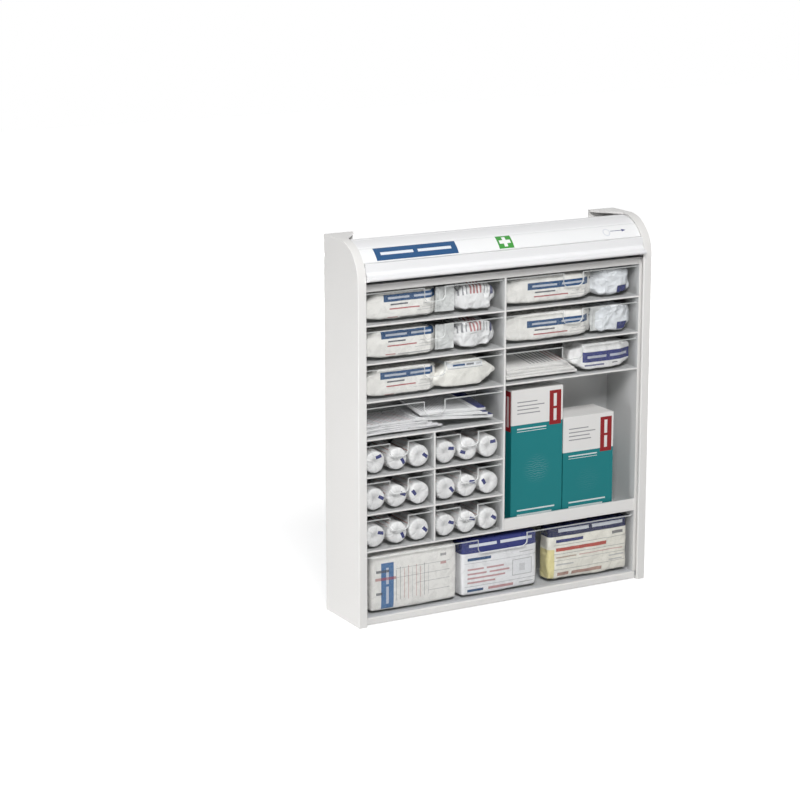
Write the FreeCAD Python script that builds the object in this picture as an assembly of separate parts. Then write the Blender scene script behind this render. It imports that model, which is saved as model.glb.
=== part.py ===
import FreeCAD, Part
import math
import os

# First aid cabinet for a wall, with a roller shutter and clear pull-out trays.
# Millimetres. X runs to the right, Y towards the wall, Z up.
# The origin is on the floor, in the middle of the footprint with the shutter's lip.

# Shell
cabinet_width = 400.0
cabinet_depth = 84.0
cabinet_height = 452.0
corner_radius = 47.0
shell_wall = 2.6
rim_width = 11.0
flange_width = 37.0
gusset_land = 5.0
gusset_length = 40.0
back_corner_round = 5.0

# Wall fixing holes in the back flanges
mount_hole_radius = 2.6
mount_hole_inset = 18.0
mount_hole_drop = 14.0
mount_hole_rise = 25.0

# Back cover and base
cover_wall = 1.6
cover_overlap = 12.0
cover_low_z = 40.0
cover_drop = 27.0
base_wall = 6.4
bottom_rail_wall = 4.0
bottom_rail_low_z = 1.0

# Countersunk screws
screw_radius = 1.5
screw_head_radius = 2.9
screw_head_depth = 1.4
screw_clearance = 0.1
cover_screw_inset = 6.0
cover_screw_count = 3
cover_screw_margin = 20.0
base_screw_margin = 20.0

# Shutter curtain
slat_pitch = 20.0
slat_thickness = 4.0
slat_gap = 0.6
spare_slats = 1
slat_end_gap = 2.4
curtain_rim_gap = 0.5
curtain_cover_gap = 0.8
label_thickness = 2.0
label_gap = 1.2

# Shutter rail, the handle at the curtain's leading edge
lip_reach = 6.0
lip_rise = 2.6
lip_height = 4.2
lip_nose = 1.8
lip_blend = 4.5
rail_lift = 2.0
rail_height = 21.0
rail_skin = 1.2
rail_edge = 2.0
rail_side_gap = 0.6
rail_stop_gap = 1.5
rail_cap_wall = 1.5
tongue_height = 5.0
tongue_relief = 0.6
lead_gap = 0.3

# Guide tracks under the curtain's arch
guide_gap = 0.5
guide_wall = 2.0

# Compartment box
box_front_gap = 1.4
box_back_gap = 0.5
box_inset = 12.0
box_wall = 2.5
box_back_wall = 1.5
box_top_gap = 2.0
head_rail_height = 7.0
head_rail_wall = 3.0
shelf_wall = 2.0
divider_wall = 2.6
small_divider_wall = 2.2
deck_z = 88.0
row_count = 7
right_first_row = 4
small_row_count = 3
bay_lip_height = 13.0
bay_lip_wall = 3.0

# Clear trays
tray_wall = 1.6
tray_side_gap = 0.8
tray_lift = 0.2
tray_setback = 0.5
tray_back_gap = 1.0
tray_headroom = 6.0
base_tray_headroom = 5.9
notch_depth = 16.0
notch_round = 6.0
notch_width = 27.0
small_notch_width = 24.0
base_notch_width = 68.0

# Contents
content_front_gap = 3.2
content_back_gap = 2.0
content_lift = 0.2
content_margin = 2.0
pouch_headroom = 0.5
pouch_round = 11.0
left_pouch_width = 97.0
right_pouch_width = 122.0
sachet_thickness = 3.0
sachet_shift = 2.0
left_sachet_width = 100.0
low_sachet_count = 5
high_sachet_count = 8
right_sachet_width = 96.0
right_sachet_count = 7
roll_gap = 1.1
roll_back_gap = 2.8
roll_count = 3
roll_edge = 1.5
pack_rise = 1.0
pack_depth = 26.0
pack_round = 5.0
pack_margin = 8.6
pack_gap = 5.4
blanket_gap = 15.0
bandage_pack_width = 117.5
triangle_pack_width = 107.0
round_limit = 0.45
bay_free_width = 29.4
carton_side_gap = 11.5
carton_gap = 1.3
carton_front_gap = 2.0
carton_back_gap = 14.5
carton_headroom = 8.7
carton_step = 41.5

# Two points closer than this are the same point
same = 1e-6

# Places that follow from the sizes above
half_width = cabinet_width / 2
front_y = lip_reach - (cabinet_depth + lip_reach) / 2
back_y = front_y + cabinet_depth
arc_y = front_y + corner_radius
arc_z = cabinet_height - corner_radius
wall_inner_x = half_width - shell_wall
rim_inner_x = half_width - rim_width
flange_inner_x = half_width - flange_width
flange_front_y = back_y - shell_wall
cover_front_y = flange_front_y - cover_wall
cover_high_z = cabinet_height - cover_drop
base_top_z = shell_wall + base_wall

curtain_radius = corner_radius - shell_wall - curtain_rim_gap
curtain_front_y = arc_y - curtain_radius
curtain_inner_y = curtain_front_y + slat_thickness
curtain_back_y = cover_front_y - curtain_cover_gap
back_radius = curtain_back_y - arc_y
back_arc_z = arc_z + curtain_radius - back_radius
front_arc_length = curtain_radius * math.pi / 2
back_arc_length = back_radius * math.pi / 2
slat_half = wall_inner_x - slat_end_gap

rail_low_z = arc_z + rail_lift
rail_top_z = rail_low_z + rail_height
rail_half = rim_inner_x - rail_side_gap
rail_travel = rail_low_z - base_top_z - rail_stop_gap
label_start = rail_lift + rail_height + label_gap
slat_count = math.ceil(rail_travel / slat_pitch) + spare_slats

box_front_y = curtain_inner_y + box_front_gap
box_back_y = curtain_back_y - slat_thickness - box_back_gap
room_back_y = box_back_y - box_back_wall
room_half = half_width - box_inset
box_half = room_half + box_wall
box_top_z = arc_z - box_top_gap
top_z = box_top_z - head_rail_height / 2
row_pitch = (top_z - deck_z) / row_count
column_inner_x = divider_wall / 2
small_divider_x = -(room_half + column_inner_x) / 2

tray_front_y = box_front_y + tray_setback
tray_back_y = room_back_y - tray_back_gap
content_front_y = tray_front_y + tray_wall + content_front_gap
content_back_y = tray_back_y - tray_wall - content_back_gap
tray_height = row_pitch - shelf_wall - tray_lift - tray_headroom
pouch_height = tray_height - tray_wall - content_lift - pouch_headroom
base_tray_height = deck_z - shelf_wall / 2 - base_top_z - tray_lift - base_tray_headroom
pack_height = base_tray_height - tray_wall - content_lift + pack_rise
roll_length = content_back_y - content_front_y - roll_back_gap

bay_floor_z = deck_z + shelf_wall / 2
bay_ceiling_z = deck_z + row_pitch * right_first_row - shelf_wall / 2
carton_front_y = box_front_y + bay_lip_wall + carton_front_gap
carton_depth = room_back_y - carton_front_y - carton_back_gap
carton_width = (room_half - column_inner_x - carton_side_gap - carton_gap - bay_free_width) / 2
tall_carton_height = bay_ceiling_z - bay_floor_z - carton_headroom
short_carton_height = tall_carton_height - carton_step


def box(x0, x1, y0, y1, z0, z1):
    """A block between two corners."""
    return Part.makeBox(x1 - x0, y1 - y0, z1 - z0, FreeCAD.Vector(x0, y0, z0))


def mirrored(shape):
    """The same piece on the other side of the cabinet."""
    return shape.mirror(FreeCAD.Vector(0, 0, 0), FreeCAD.Vector(1, 0, 0))


def prism(points, x0, x1):
    """A polygon of (y, z) points, drawn out from x0 to x1."""
    corners = [FreeCAD.Vector(x0, y, z) for y, z in points]
    face = Part.Face(Part.makePolygon(corners + corners[:1]))
    return face.extrude(FreeCAD.Vector(x1 - x0, 0, 0))


def arc_edge(centre_y, centre_z, radius, start, end, x):
    """An arc in the YZ plane; its angle is 0 at the front and a right angle at the top."""
    points = []
    for angle in (start, (start + end) / 2, end):
        y = centre_y - radius * math.cos(angle)
        z = centre_z + radius * math.sin(angle)
        points.append(FreeCAD.Vector(x, y, z))
    return Part.Arc(*points).toShape()


def ring_sector(centre_y, centre_z, radius, thickness, start, end, x0, x1):
    """A curved strip, thick towards the centre, drawn out from x0 to x1."""
    outer = arc_edge(centre_y, centre_z, radius, start, end, x0)
    inner = arc_edge(centre_y, centre_z, radius - thickness, start, end, x0)
    first = Part.makeLine(outer.Vertexes[0].Point, inner.Vertexes[0].Point)
    last = Part.makeLine(outer.Vertexes[-1].Point, inner.Vertexes[-1].Point)
    face = Part.Face(Part.Wire(Part.__sortEdges__([outer, last, inner, first])))
    return face.extrude(FreeCAD.Vector(x1 - x0, 0, 0))


def side_profile(inset, x0, x1):
    """The side panel's outline, moved in by inset and drawn out from x0 to x1."""
    y0 = front_y + inset
    y1 = back_y - inset
    z0 = inset
    z1 = cabinet_height - inset
    arc = arc_edge(arc_y, arc_z, corner_radius - inset, 0, math.pi / 2, x0)
    corners = [(arc_y, z1), (y1, z1), (y1, z0), (y0, z0), (y0, arc_z)]
    points = [FreeCAD.Vector(x0, y, z) for y, z in corners]
    lines = [Part.makeLine(a, b) for a, b in zip(points, points[1:])]
    face = Part.Face(Part.Wire([arc] + lines))
    return face.extrude(FreeCAD.Vector(x1 - x0, 0, 0))


def screw(tip, axis, length, clearance):
    """A countersunk screw, from its tip along the axis to its flat head."""
    radius = screw_radius + clearance
    head_radius = screw_head_radius + clearance
    neck = length - screw_head_depth
    shank = Part.makeCylinder(radius, neck, tip, axis)
    head = Part.makeCone(radius, head_radius, screw_head_depth, tip + axis * neck, axis)
    return shank.fuse(head).removeSplitter()


def cover_screw_places():
    """Tips of the screws that hold the back cover to the right flange."""
    x = flange_inner_x + cover_screw_inset
    low = cover_low_z + cover_screw_margin
    high = cover_high_z - cover_screw_margin
    step = (high - low) / (cover_screw_count - 1)
    return [FreeCAD.Vector(x, cover_front_y, low + step * i) for i in range(cover_screw_count)]


def base_screw_places():
    """Tips of the screws that hold the base to the right side panel."""
    x = half_width - rim_width / 2
    ys = (box_front_y + base_screw_margin, flange_front_y - base_screw_margin)
    return [FreeCAD.Vector(x, y, base_top_z) for y in ys]


def cover_screw_set(clearance):
    length = back_y - cover_front_y
    return [screw(tip, FreeCAD.Vector(0, 1, 0), length, clearance) for tip in cover_screw_places()]


def base_screw_set(clearance):
    return [screw(tip, FreeCAD.Vector(0, 0, -1), base_top_z, clearance) for tip in base_screw_places()]


def side_panel():
    """Right side panel: a wall with an inward rim, a wide back flange and a corner gusset."""
    panel = side_profile(0, rim_inner_x, half_width)
    panel = panel.cut(side_profile(shell_wall, rim_inner_x, wall_inner_x))
    flange = box(flange_inner_x, rim_inner_x, flange_front_y, back_y, 0, cabinet_height)
    plan = [
        (flange_inner_x, back_y),
        (rim_inner_x, back_y),
        (rim_inner_x, back_y - gusset_length),
        (flange_inner_x, back_y - gusset_land),
    ]
    corners = [FreeCAD.Vector(x, y, cabinet_height - shell_wall) for x, y in plan]
    face = Part.Face(Part.makePolygon(corners + corners[:1]))
    gusset = face.extrude(FreeCAD.Vector(0, 0, shell_wall))
    panel = panel.fuse([flange, gusset]).removeSplitter()
    corner = [e for e in panel.Edges if is_back_corner(e)]
    panel = panel.makeFillet(back_corner_round, corner)
    for z in (mount_hole_rise, cabinet_height - mount_hole_drop):
        start = FreeCAD.Vector(half_width - mount_hole_inset, flange_front_y, z)
        panel = panel.cut(Part.makeCylinder(mount_hole_radius, shell_wall, start, FreeCAD.Vector(0, 1, 0)))
    for hole in cover_screw_set(screw_clearance) + base_screw_set(screw_clearance):
        panel = panel.cut(hole)
    return panel


def is_back_corner(edge):
    """True for the upright outer edge between the wall and the back flange."""
    ends = [v.Point for v in edge.Vertexes]
    return len(ends) == 2 and all(abs(p.x - half_width) + abs(p.y - back_y) < same for p in ends)


def guide_track():
    """Right guide track: an arch under the curtain's ends, fixed to the side wall."""
    under = slat_thickness + guide_gap
    front = ring_sector(
        arc_y, arc_z, curtain_radius - under, guide_wall, 0, math.pi / 2, rim_inner_x, wall_inner_x,
    )
    back = ring_sector(
        arc_y, back_arc_z, back_radius - under, guide_wall, math.pi / 2, math.pi, rim_inner_x, wall_inner_x,
    )
    return front.fuse(back).removeSplitter()


def back_cover():
    """Thin sheet in front of the two back flanges."""
    half = flange_inner_x + cover_overlap
    cover = box(-half, half, cover_front_y, flange_front_y, cover_low_z, cover_high_z)
    for hole in cover_screw_set(screw_clearance):
        cover = cover.cut(hole).cut(mirrored(hole))
    return cover


def base_panel():
    """Floor of the cabinet, on the side panels' lower rims."""
    base = box(-wall_inner_x, wall_inner_x, box_front_y, flange_front_y, shell_wall, base_top_z)
    for hole in base_screw_set(screw_clearance):
        base = base.cut(hole).cut(mirrored(hole))
    return base


def slat(start, end, thickness):
    """A piece of curtain between two distances along its path from the foot of the arch."""
    pieces = []
    low = max(start, 0)
    high = min(end, front_arc_length)
    if high > low:
        angles = (low / curtain_radius, high / curtain_radius)
        pieces.append(ring_sector(arc_y, arc_z, curtain_radius, thickness, *angles, -slat_half, slat_half))
    low = max(start, front_arc_length) - front_arc_length
    high = min(end - front_arc_length, back_arc_length)
    if high > low:
        angles = [math.pi / 2 + s / back_radius for s in (low, high)]
        pieces.append(ring_sector(arc_y, back_arc_z, back_radius, thickness, *angles, -slat_half, slat_half))
    low = max(start - front_arc_length - back_arc_length, 0)
    high = end - front_arc_length - back_arc_length
    if high > low:
        y = curtain_back_y - thickness
        pieces.append(box(-slat_half, slat_half, y, curtain_back_y, back_arc_z - high, back_arc_z - low))
    whole = pieces[0]
    for piece in pieces[1:]:
        whole = whole.fuse(piece)
    return whole.removeSplitter()


def curtain_slats():
    """The slats behind the label slat: those on the arch, and those on the straight back run."""
    arch = []
    back = []
    for i in range(1, slat_count + 1):
        start = label_start + slat_pitch * i
        piece = slat(start, start + slat_pitch - slat_gap, slat_thickness)
        if start < front_arc_length + back_arc_length:
            arch.append(piece)
        else:
            back.append(piece)
    return arch, back


def rail_outline():
    """The shutter rail's section: an upright strip with a finger lip along its foot."""
    lip_y = front_y - lip_reach
    lip_low_z = rail_low_z + lip_rise
    lip_top_z = lip_low_z + lip_height
    return [
        (curtain_inner_y, rail_low_z),
        (curtain_front_y, rail_low_z),
        (lip_y + lip_nose, lip_low_z),
        (lip_y, lip_low_z + lip_nose),
        (lip_y, lip_top_z - lip_nose),
        (lip_y + lip_nose, lip_top_z),
        (curtain_front_y, lip_top_z + lip_blend),
        (curtain_front_y, rail_top_z),
        (curtain_inner_y, rail_top_z),
    ]


def shutter_rail():
    """Handle rail with a pocket in its back for the leading edge of the curtain."""
    half = rail_half - rail_cap_wall
    rail = prism(rail_outline(), -half, half)
    pocket = box(
        -half, half, curtain_front_y + rail_skin, curtain_inner_y,
        rail_low_z + rail_edge, rail_top_z - rail_edge,
    )
    return rail.cut(pocket)


def rail_end_cap():
    """Right end cap of the rail, with the tongue that runs in the groove behind the rim."""
    cap = prism(rail_outline(), rail_half - rail_cap_wall, rail_half)
    tongue = box(
        rail_half, slat_half, curtain_front_y + tongue_relief, curtain_inner_y,
        rail_low_z, rail_low_z + tongue_height,
    )
    return cap.fuse(tongue).removeSplitter()


def shutter_curtain():
    """The curtain's leading edge in the rail's pocket; it follows the rail down."""
    half = rail_half - rail_cap_wall - lead_gap
    return box(
        -half, half, curtain_front_y + rail_skin + lead_gap, curtain_inner_y,
        rail_low_z + rail_edge + lead_gap, rail_top_z - rail_edge - lead_gap,
    )


def shelf_z(row):
    """Middle height of the shelf under a row; row 0 stands on the lower deck."""
    return deck_z + row_pitch * row


def shelf(x0, x1, row):
    z = shelf_z(row) - shelf_wall / 2
    return box(x0, x1, box_front_y, room_back_y, z, z + shelf_wall)


def small_divider(row):
    """Upright plate between two small trays."""
    x0 = small_divider_x - small_divider_wall / 2
    low = shelf_z(row) + shelf_wall / 2
    high = shelf_z(row + 1) - shelf_wall / 2
    return box(x0, x0 + small_divider_wall, box_front_y, room_back_y, low, high)


def tray(x0, x1, floor_z, height, width):
    """A clear open-topped tray with a rounded finger notch in its front wall."""
    left = x0 + tray_side_gap
    right = x1 - tray_side_gap
    low = floor_z + tray_lift
    top = low + height
    shell = box(left, right, tray_front_y, tray_back_y, low, top)
    inside = box(
        left + tray_wall, right - tray_wall, tray_front_y + tray_wall, tray_back_y - tray_wall,
        low + tray_wall, top,
    )
    middle = (left + right) / 2
    notch = box(
        middle - width / 2, middle + width / 2, tray_front_y, tray_front_y + tray_wall,
        top - notch_depth, top,
    )
    lower = [e for e in notch.Edges if is_notch_corner(e, top - notch_depth)]
    return shell.cut(inside).cut(notch.makeFillet(notch_round, lower))


def is_notch_corner(edge, z):
    """True for the two edges along Y at the foot of a notch."""
    a, b = [v.Point for v in edge.Vertexes]
    return abs(a.y - b.y) > same and abs(a.z - z) < same


def tray_floor(floor_z):
    """Top of a tray's floor, where its contents lie."""
    return floor_z + tray_lift + tray_wall + content_lift


def soft_pack(x0, x1, y0, y1, z0, z1, radius):
    """A soft wrapped pack: a block with well rounded long edges."""
    pack = box(x0, x1, y0, y1, z0, z1)
    long_edges = [e for e in pack.Edges if abs(e.Vertexes[0].Point.x - e.Vertexes[1].Point.x) > same]
    return pack.makeFillet(min(radius, round_limit * (y1 - y0), round_limit * (z1 - z0)), long_edges)


def pouch(x0, width, floor_z):
    """One dressing pouch, lying in a tray."""
    z0 = tray_floor(floor_z)
    return soft_pack(x0, x0 + width, content_front_y, content_back_y, z0, z0 + pouch_height, pouch_round)


def content_start(x0):
    """Left end of the first thing in a tray."""
    return x0 + tray_side_gap + tray_wall + content_margin


def content_end(x1):
    """Right end of the last thing in a tray."""
    return x1 - tray_side_gap - tray_wall - content_margin


def pouch_row(x0, x1, width, floor_z):
    """A dressing pouch of the given width, and one beside it that fills the tray."""
    start = content_start(x0)
    second = start + width + content_margin
    return [pouch(start, width, floor_z), pouch(second, content_end(x1) - second, floor_z)]


def sachet_stack(x0, width, count, floor_z):
    """Flat sachets in a slightly uneven stack."""
    z = tray_floor(floor_z)
    stack = []
    for i in range(count):
        shift = sachet_shift * (i % 2)
        y0 = content_front_y + shift
        stack.append(box(x0 + shift, x0 + shift + width, y0, content_back_y, z, z + sachet_thickness))
        z += sachet_thickness
    return stack


def roll_row(x0, x1, floor_z):
    """Bandage rolls in a small tray, ends to the front."""
    left = x0 + tray_side_gap + tray_wall
    pitch = (x1 - tray_side_gap - tray_wall - left) / roll_count
    radius = pitch / 2 - roll_gap
    z = tray_floor(floor_z) + radius
    rolls = []
    for i in range(roll_count):
        start = FreeCAD.Vector(left + pitch * (i + 0.5), content_front_y, z)
        roll = Part.makeCylinder(radius, roll_length, start, FreeCAD.Vector(0, 1, 0))
        rims = [e for e in roll.Edges if len(e.Vertexes) == 1]
        rolls.append(roll.makeFillet(roll_edge, rims))
    return rolls


def drawer_pack(x0, x1):
    """A flat pack that stands in the wide base tray."""
    z0 = tray_floor(base_top_z)
    y1 = content_front_y + pack_depth
    return soft_pack(x0, x1, content_front_y, y1, z0, z0 + pack_height, pack_round)


def carton(x0, height):
    """A folded carton on the deck, behind the bay's lip."""
    y1 = carton_front_y + carton_depth
    return box(x0, x0 + carton_width, carton_front_y, y1, bay_floor_z, bay_floor_z + height)


nodes = {}


def add(name, solids):
    """Keep a node's solids under its name."""
    nodes[name] = solids


def add_pair(name, shape):
    """A right piece and its mirror image on the left."""
    add(name + "_right", [shape])
    add(name + "_left", [mirrored(shape)])


def build_shell():
    add_pair("side_panel", side_panel())
    add_pair("guide_track", guide_track())
    add("back_cover", [back_cover()])
    add("base_panel", [base_panel()])
    rail_front_y = box_front_y - bottom_rail_wall
    add("bottom_rail", [box(-rail_half, rail_half, rail_front_y, box_front_y, bottom_rail_low_z, base_top_z)])
    cover_screws = cover_screw_set(0)
    add("cover_screws", cover_screws + [mirrored(s) for s in cover_screws])
    base_screws = base_screw_set(0)
    add("base_screws", base_screws + [mirrored(s) for s in base_screws])


def build_shutter():
    arch, back = curtain_slats()
    add("arch_slats", arch)
    add("back_slats", back)
    add("shutter_curtain", [shutter_curtain()])
    add("shutter_rail", [shutter_rail()])
    cap = rail_end_cap()
    add("rail_end_caps", [cap, mirrored(cap)])
    add("label_slat", [slat(label_start, label_start + slat_pitch - slat_gap, label_thickness)])


def build_box():
    add_pair("box_side", box(room_half, box_half, box_front_y, room_back_y, base_top_z, box_top_z))
    add("box_back", [box(-box_half, box_half, room_back_y, box_back_y, base_top_z, box_top_z)])
    rail_back_y = box_front_y + head_rail_wall
    rail_z = top_z - head_rail_height / 2
    add("head_rail", [box(-room_half, room_half, box_front_y, rail_back_y, rail_z, box_top_z)])
    lid_z = top_z - shelf_wall / 2
    add("box_top", [box(-room_half, room_half, rail_back_y, room_back_y, lid_z, lid_z + shelf_wall)])
    add("lower_deck", [shelf(-room_half, room_half, 0)])
    column = box(-column_inner_x, column_inner_x, rail_back_y, room_back_y, bay_floor_z, lid_z)
    front = box(-column_inner_x, column_inner_x, box_front_y, rail_back_y, bay_floor_z, rail_z)
    add("centre_divider", [column.fuse(front).removeSplitter()])
    add("shelves_left", [shelf(-room_half, -column_inner_x, row) for row in range(1, row_count)])
    add("shelves_right", [shelf(column_inner_x, room_half, row) for row in range(right_first_row, row_count)])
    add("small_dividers", [small_divider(row) for row in range(small_row_count)])
    lip_y = box_front_y + bay_lip_wall
    lip_top = bay_floor_z + bay_lip_height
    add("bay_lip", [box(column_inner_x, room_half, box_front_y, lip_y, bay_floor_z, lip_top)])


def build_trays():
    """Trays and what lies in them, from the top row down."""
    wide_left = (-room_half, -column_inner_x)
    wide_right = (column_inner_x, room_half)
    for number in range(1, row_count - small_row_count + 1):
        floor_z = shelf_z(row_count - number) + shelf_wall / 2
        add("tray_left_%d" % number, [tray(*wide_left, floor_z, tray_height, notch_width)])
        if number < row_count - small_row_count:
            add("pouches_left_%d" % number, pouch_row(*wide_left, left_pouch_width, floor_z))
    start = content_start(wide_left[0])
    low_stack = sachet_stack(start, left_sachet_width, low_sachet_count, floor_z)
    second = start + left_sachet_width + sachet_shift + content_margin
    width = content_end(wide_left[1]) - sachet_shift - second
    add("sachets_left", low_stack + sachet_stack(second, width, high_sachet_count, floor_z))
    for number in range(1, row_count - right_first_row + 1):
        floor_z = shelf_z(row_count - number) + shelf_wall / 2
        add("tray_right_%d" % number, [tray(*wide_right, floor_z, tray_height, notch_width)])
        if number < row_count - right_first_row:
            add("pouches_right_%d" % number, pouch_row(*wide_right, right_pouch_width, floor_z))
    start = content_start(wide_right[0])
    add("sachets_right", sachet_stack(start, right_sachet_width, right_sachet_count, floor_z))
    second = start + right_sachet_width + sachet_shift + content_margin
    add("pouch_right_3", [pouch(second, content_end(wide_right[1]) - second, floor_z)])


def build_small_trays():
    """Two columns of small trays with bandage rolls."""
    gap = small_divider_wall / 2
    columns = [(-room_half, small_divider_x - gap), (small_divider_x + gap, -column_inner_x)]
    number = 0
    for row in reversed(range(small_row_count)):
        floor_z = shelf_z(row) + shelf_wall / 2
        for column in columns:
            number += 1
            add("tray_small_%d" % number, [tray(*column, floor_z, tray_height, small_notch_width)])
            add("rolls_%d" % number, roll_row(*column, floor_z))


def build_base_tray_and_bay():
    add("tray_base", [tray(-room_half, room_half, base_top_z, base_tray_height, base_notch_width)])
    first = -room_half + tray_side_gap + tray_wall + pack_margin
    second = first + bandage_pack_width + pack_gap
    third = second + triangle_pack_width + blanket_gap
    add("bandage_pack", [drawer_pack(first, first + bandage_pack_width)])
    add("triangle_pack", [drawer_pack(second, second + triangle_pack_width)])
    add("blanket_pack", [drawer_pack(third, content_end(room_half))])
    first = column_inner_x + carton_side_gap
    add("carton_tall", [carton(first, tall_carton_height)])
    add("carton_short", [carton(first + carton_width + carton_gap, short_carton_height)])


def export():
    os.makedirs("parts", exist_ok=True)
    for name, solids in nodes.items():
        shape = solids[0] if len(solids) == 1 else Part.makeCompound(solids)
        shape.exportStep("parts/%s.step" % name)
        valid = all(s.isValid() and s.Volume > 0 for s in solids)
        print("%-18s %2d solids  valid %s  volume %.0f" % (name, len(solids), valid, shape.Volume))
    print(len(nodes), "nodes, shutter travel %.2f" % rail_travel)


build_shell()
build_shutter()
build_box()
build_trays()
build_small_trays()
build_base_tray_and_bay()
export()
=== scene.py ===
# %% [markdown]
# # A first aid cabinet with a roller shutter
# The cabinet hangs on a wall. Its shutter of slats rolls up over a rounded top, and behind it are clear
# trays with dressings and bandage rolls, a bay with two cartons, and a wide tray at the base. The
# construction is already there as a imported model. This lesson dresses it: pieces whose shape is right keep
# their solids and get a finish, and the others are modelled again with softer edges, folds and print.

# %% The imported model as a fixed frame
import math
from collections import namedtuple

import bmesh
import bpy
from mathutils import Matrix, Vector


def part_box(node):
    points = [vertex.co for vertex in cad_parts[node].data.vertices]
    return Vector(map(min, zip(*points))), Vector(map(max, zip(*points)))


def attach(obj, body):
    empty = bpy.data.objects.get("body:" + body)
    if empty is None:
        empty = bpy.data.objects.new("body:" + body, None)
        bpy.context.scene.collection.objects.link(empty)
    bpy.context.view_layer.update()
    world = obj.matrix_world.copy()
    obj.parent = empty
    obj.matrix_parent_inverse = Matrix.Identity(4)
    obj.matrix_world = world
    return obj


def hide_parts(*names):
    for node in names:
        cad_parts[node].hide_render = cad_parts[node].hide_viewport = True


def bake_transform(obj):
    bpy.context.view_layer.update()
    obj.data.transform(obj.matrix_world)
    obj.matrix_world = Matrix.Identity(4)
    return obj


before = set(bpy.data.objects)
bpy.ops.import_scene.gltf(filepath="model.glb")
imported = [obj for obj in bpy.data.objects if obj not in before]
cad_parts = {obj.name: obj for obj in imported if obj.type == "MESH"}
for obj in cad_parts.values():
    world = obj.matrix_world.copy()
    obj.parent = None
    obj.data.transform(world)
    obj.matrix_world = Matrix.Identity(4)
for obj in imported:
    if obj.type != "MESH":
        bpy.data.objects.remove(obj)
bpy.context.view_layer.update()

mm = 0.001

# %% [markdown]
# ## Camera
# The photograph's perspective was solved from the cabinet's corners: the camera stands almost three metres
# away, left of the middle and a little above it, with a long lens. A camera looks along its own -Z, so a
# quaternion that tracks the target turns it the right way.

# %% Camera
camera_eye = Vector((-1470.84, -2415.29, 919.14)) * mm
camera_target = Vector((-122.624, 3.0, 255.702)) * mm
bpy.ops.object.camera_add(location=camera_eye)
camera = bpy.context.object
camera.name = "camera"
camera.rotation_euler = (camera_target - camera_eye).to_track_quat("-Z", "Y").to_euler()
camera.data.sensor_width = 36.0
camera.data.lens = 109.9
camera.data.clip_end = 50.0
bpy.context.scene.camera = camera
print("camera at", [round(v, 3) for v in camera_eye])

# %% [markdown]
# ## Tools of the bench
# Blender's operators act on whatever is selected, so a piece is selected alone before it is changed. `pick`
# opens a piece in edit mode and selects by place or normal. `block`, `cylinder` and `section` add a
# primitive and bring it to its size. `apply` adds a modifier and applies it at once. `settle` gives a
# finished piece its smoothing, finish and body.

# %% Selecting
def deselect():
    """Leave edit mode and clear the selection."""
    if bpy.context.object and bpy.context.object.mode != "OBJECT":
        bpy.ops.object.mode_set(mode="OBJECT")
    bpy.ops.object.select_all(action="DESELECT")


def activate(piece):
    """Make a piece the only one that is selected."""
    deselect()
    piece.select_set(True)
    bpy.context.view_layer.objects.active = piece


def everything(element):
    return True


def upward(face):
    return face.normal.z > 0.9


def pick(piece, kind, test):
    """Open a piece in edit mode with the faces, edges or points that pass a test selected."""
    activate(piece)
    bpy.ops.object.mode_set(mode="EDIT")
    bpy.ops.mesh.select_mode(type=kind)
    bpy.ops.mesh.select_all(action="DESELECT")
    mesh = bmesh.from_edit_mesh(piece.data)
    mesh.normal_update()
    elements = {"FACE": mesh.faces, "EDGE": mesh.edges, "VERT": mesh.verts}[kind]
    for element in elements:
        element.select_set(bool(test(element)))
    mesh.select_flush_mode()
    bmesh.update_edit_mesh(piece.data)


def done():
    """Leave edit mode."""
    bpy.ops.object.mode_set(mode="OBJECT")


print("selecting ready")

# %% Blocks, cylinders and sections
def block(name, low, high):
    """A cube brought to the size and place between two corners."""
    deselect()
    low = Vector(low)
    high = Vector(high)
    bpy.ops.mesh.primitive_cube_add(size=1, location=(low + high) / 2)
    piece = bpy.context.object
    piece.name = name
    piece.scale = high - low
    bpy.ops.object.transform_apply(location=True, rotation=True, scale=True)
    return piece


def cylinder(name, sides, radius, depth, centre=(0, 0, 0), along="Z"):
    """A cylinder along Y or Z."""
    deselect()
    turn = (math.pi / 2, 0, 0) if along == "Y" else (0, 0, 0)
    bpy.ops.mesh.primitive_cylinder_add(vertices=sides, radius=radius, depth=depth, location=centre,
                                        rotation=turn)
    piece = bpy.context.object
    piece.name = name
    bpy.ops.object.transform_apply(location=True, rotation=True, scale=True)
    return piece


def section(name, points, x0, x1):
    """A filled ring of (y, z) points at x0, extruded along X to x1."""
    deselect()
    bpy.ops.mesh.primitive_circle_add(vertices=len(points), radius=1, fill_type="NGON")
    piece = bpy.context.object
    piece.name = name
    for vertex, (y, z) in zip(piece.data.vertices, points):
        vertex.co = (x0, y, z)
    pick(piece, "FACE", everything)
    bpy.ops.mesh.extrude_region_move(TRANSFORM_OT_translate={"value": (x1 - x0, 0, 0)})
    bpy.ops.mesh.select_all(action="SELECT")
    bpy.ops.mesh.normals_make_consistent(inside=False)
    done()
    return piece


print("primitives ready")

# %% Modifiers and edges
def apply(piece, kind, **settings):
    """Add a modifier to a piece and apply it."""
    activate(piece)
    modifier = piece.modifiers.new(kind.title(), kind)
    for name, value in settings.items():
        setattr(modifier, name, value)
    bpy.ops.object.modifier_apply(modifier=modifier.name)
    return piece


def soften(piece, width, segments=2, angle=35):
    """Round all sharp edges a little."""
    return apply(piece, "BEVEL", width=width, segments=segments, limit_method="ANGLE",
                 angle_limit=math.radians(angle), use_clamp_overlap=True)


def combine(piece, other, operation):
    """Join another piece to this one, or cut it out of it, and remove the other."""
    apply(piece, "BOOLEAN", object=other, operation=operation, solver="EXACT")
    bpy.data.objects.remove(other)
    return piece


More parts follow.
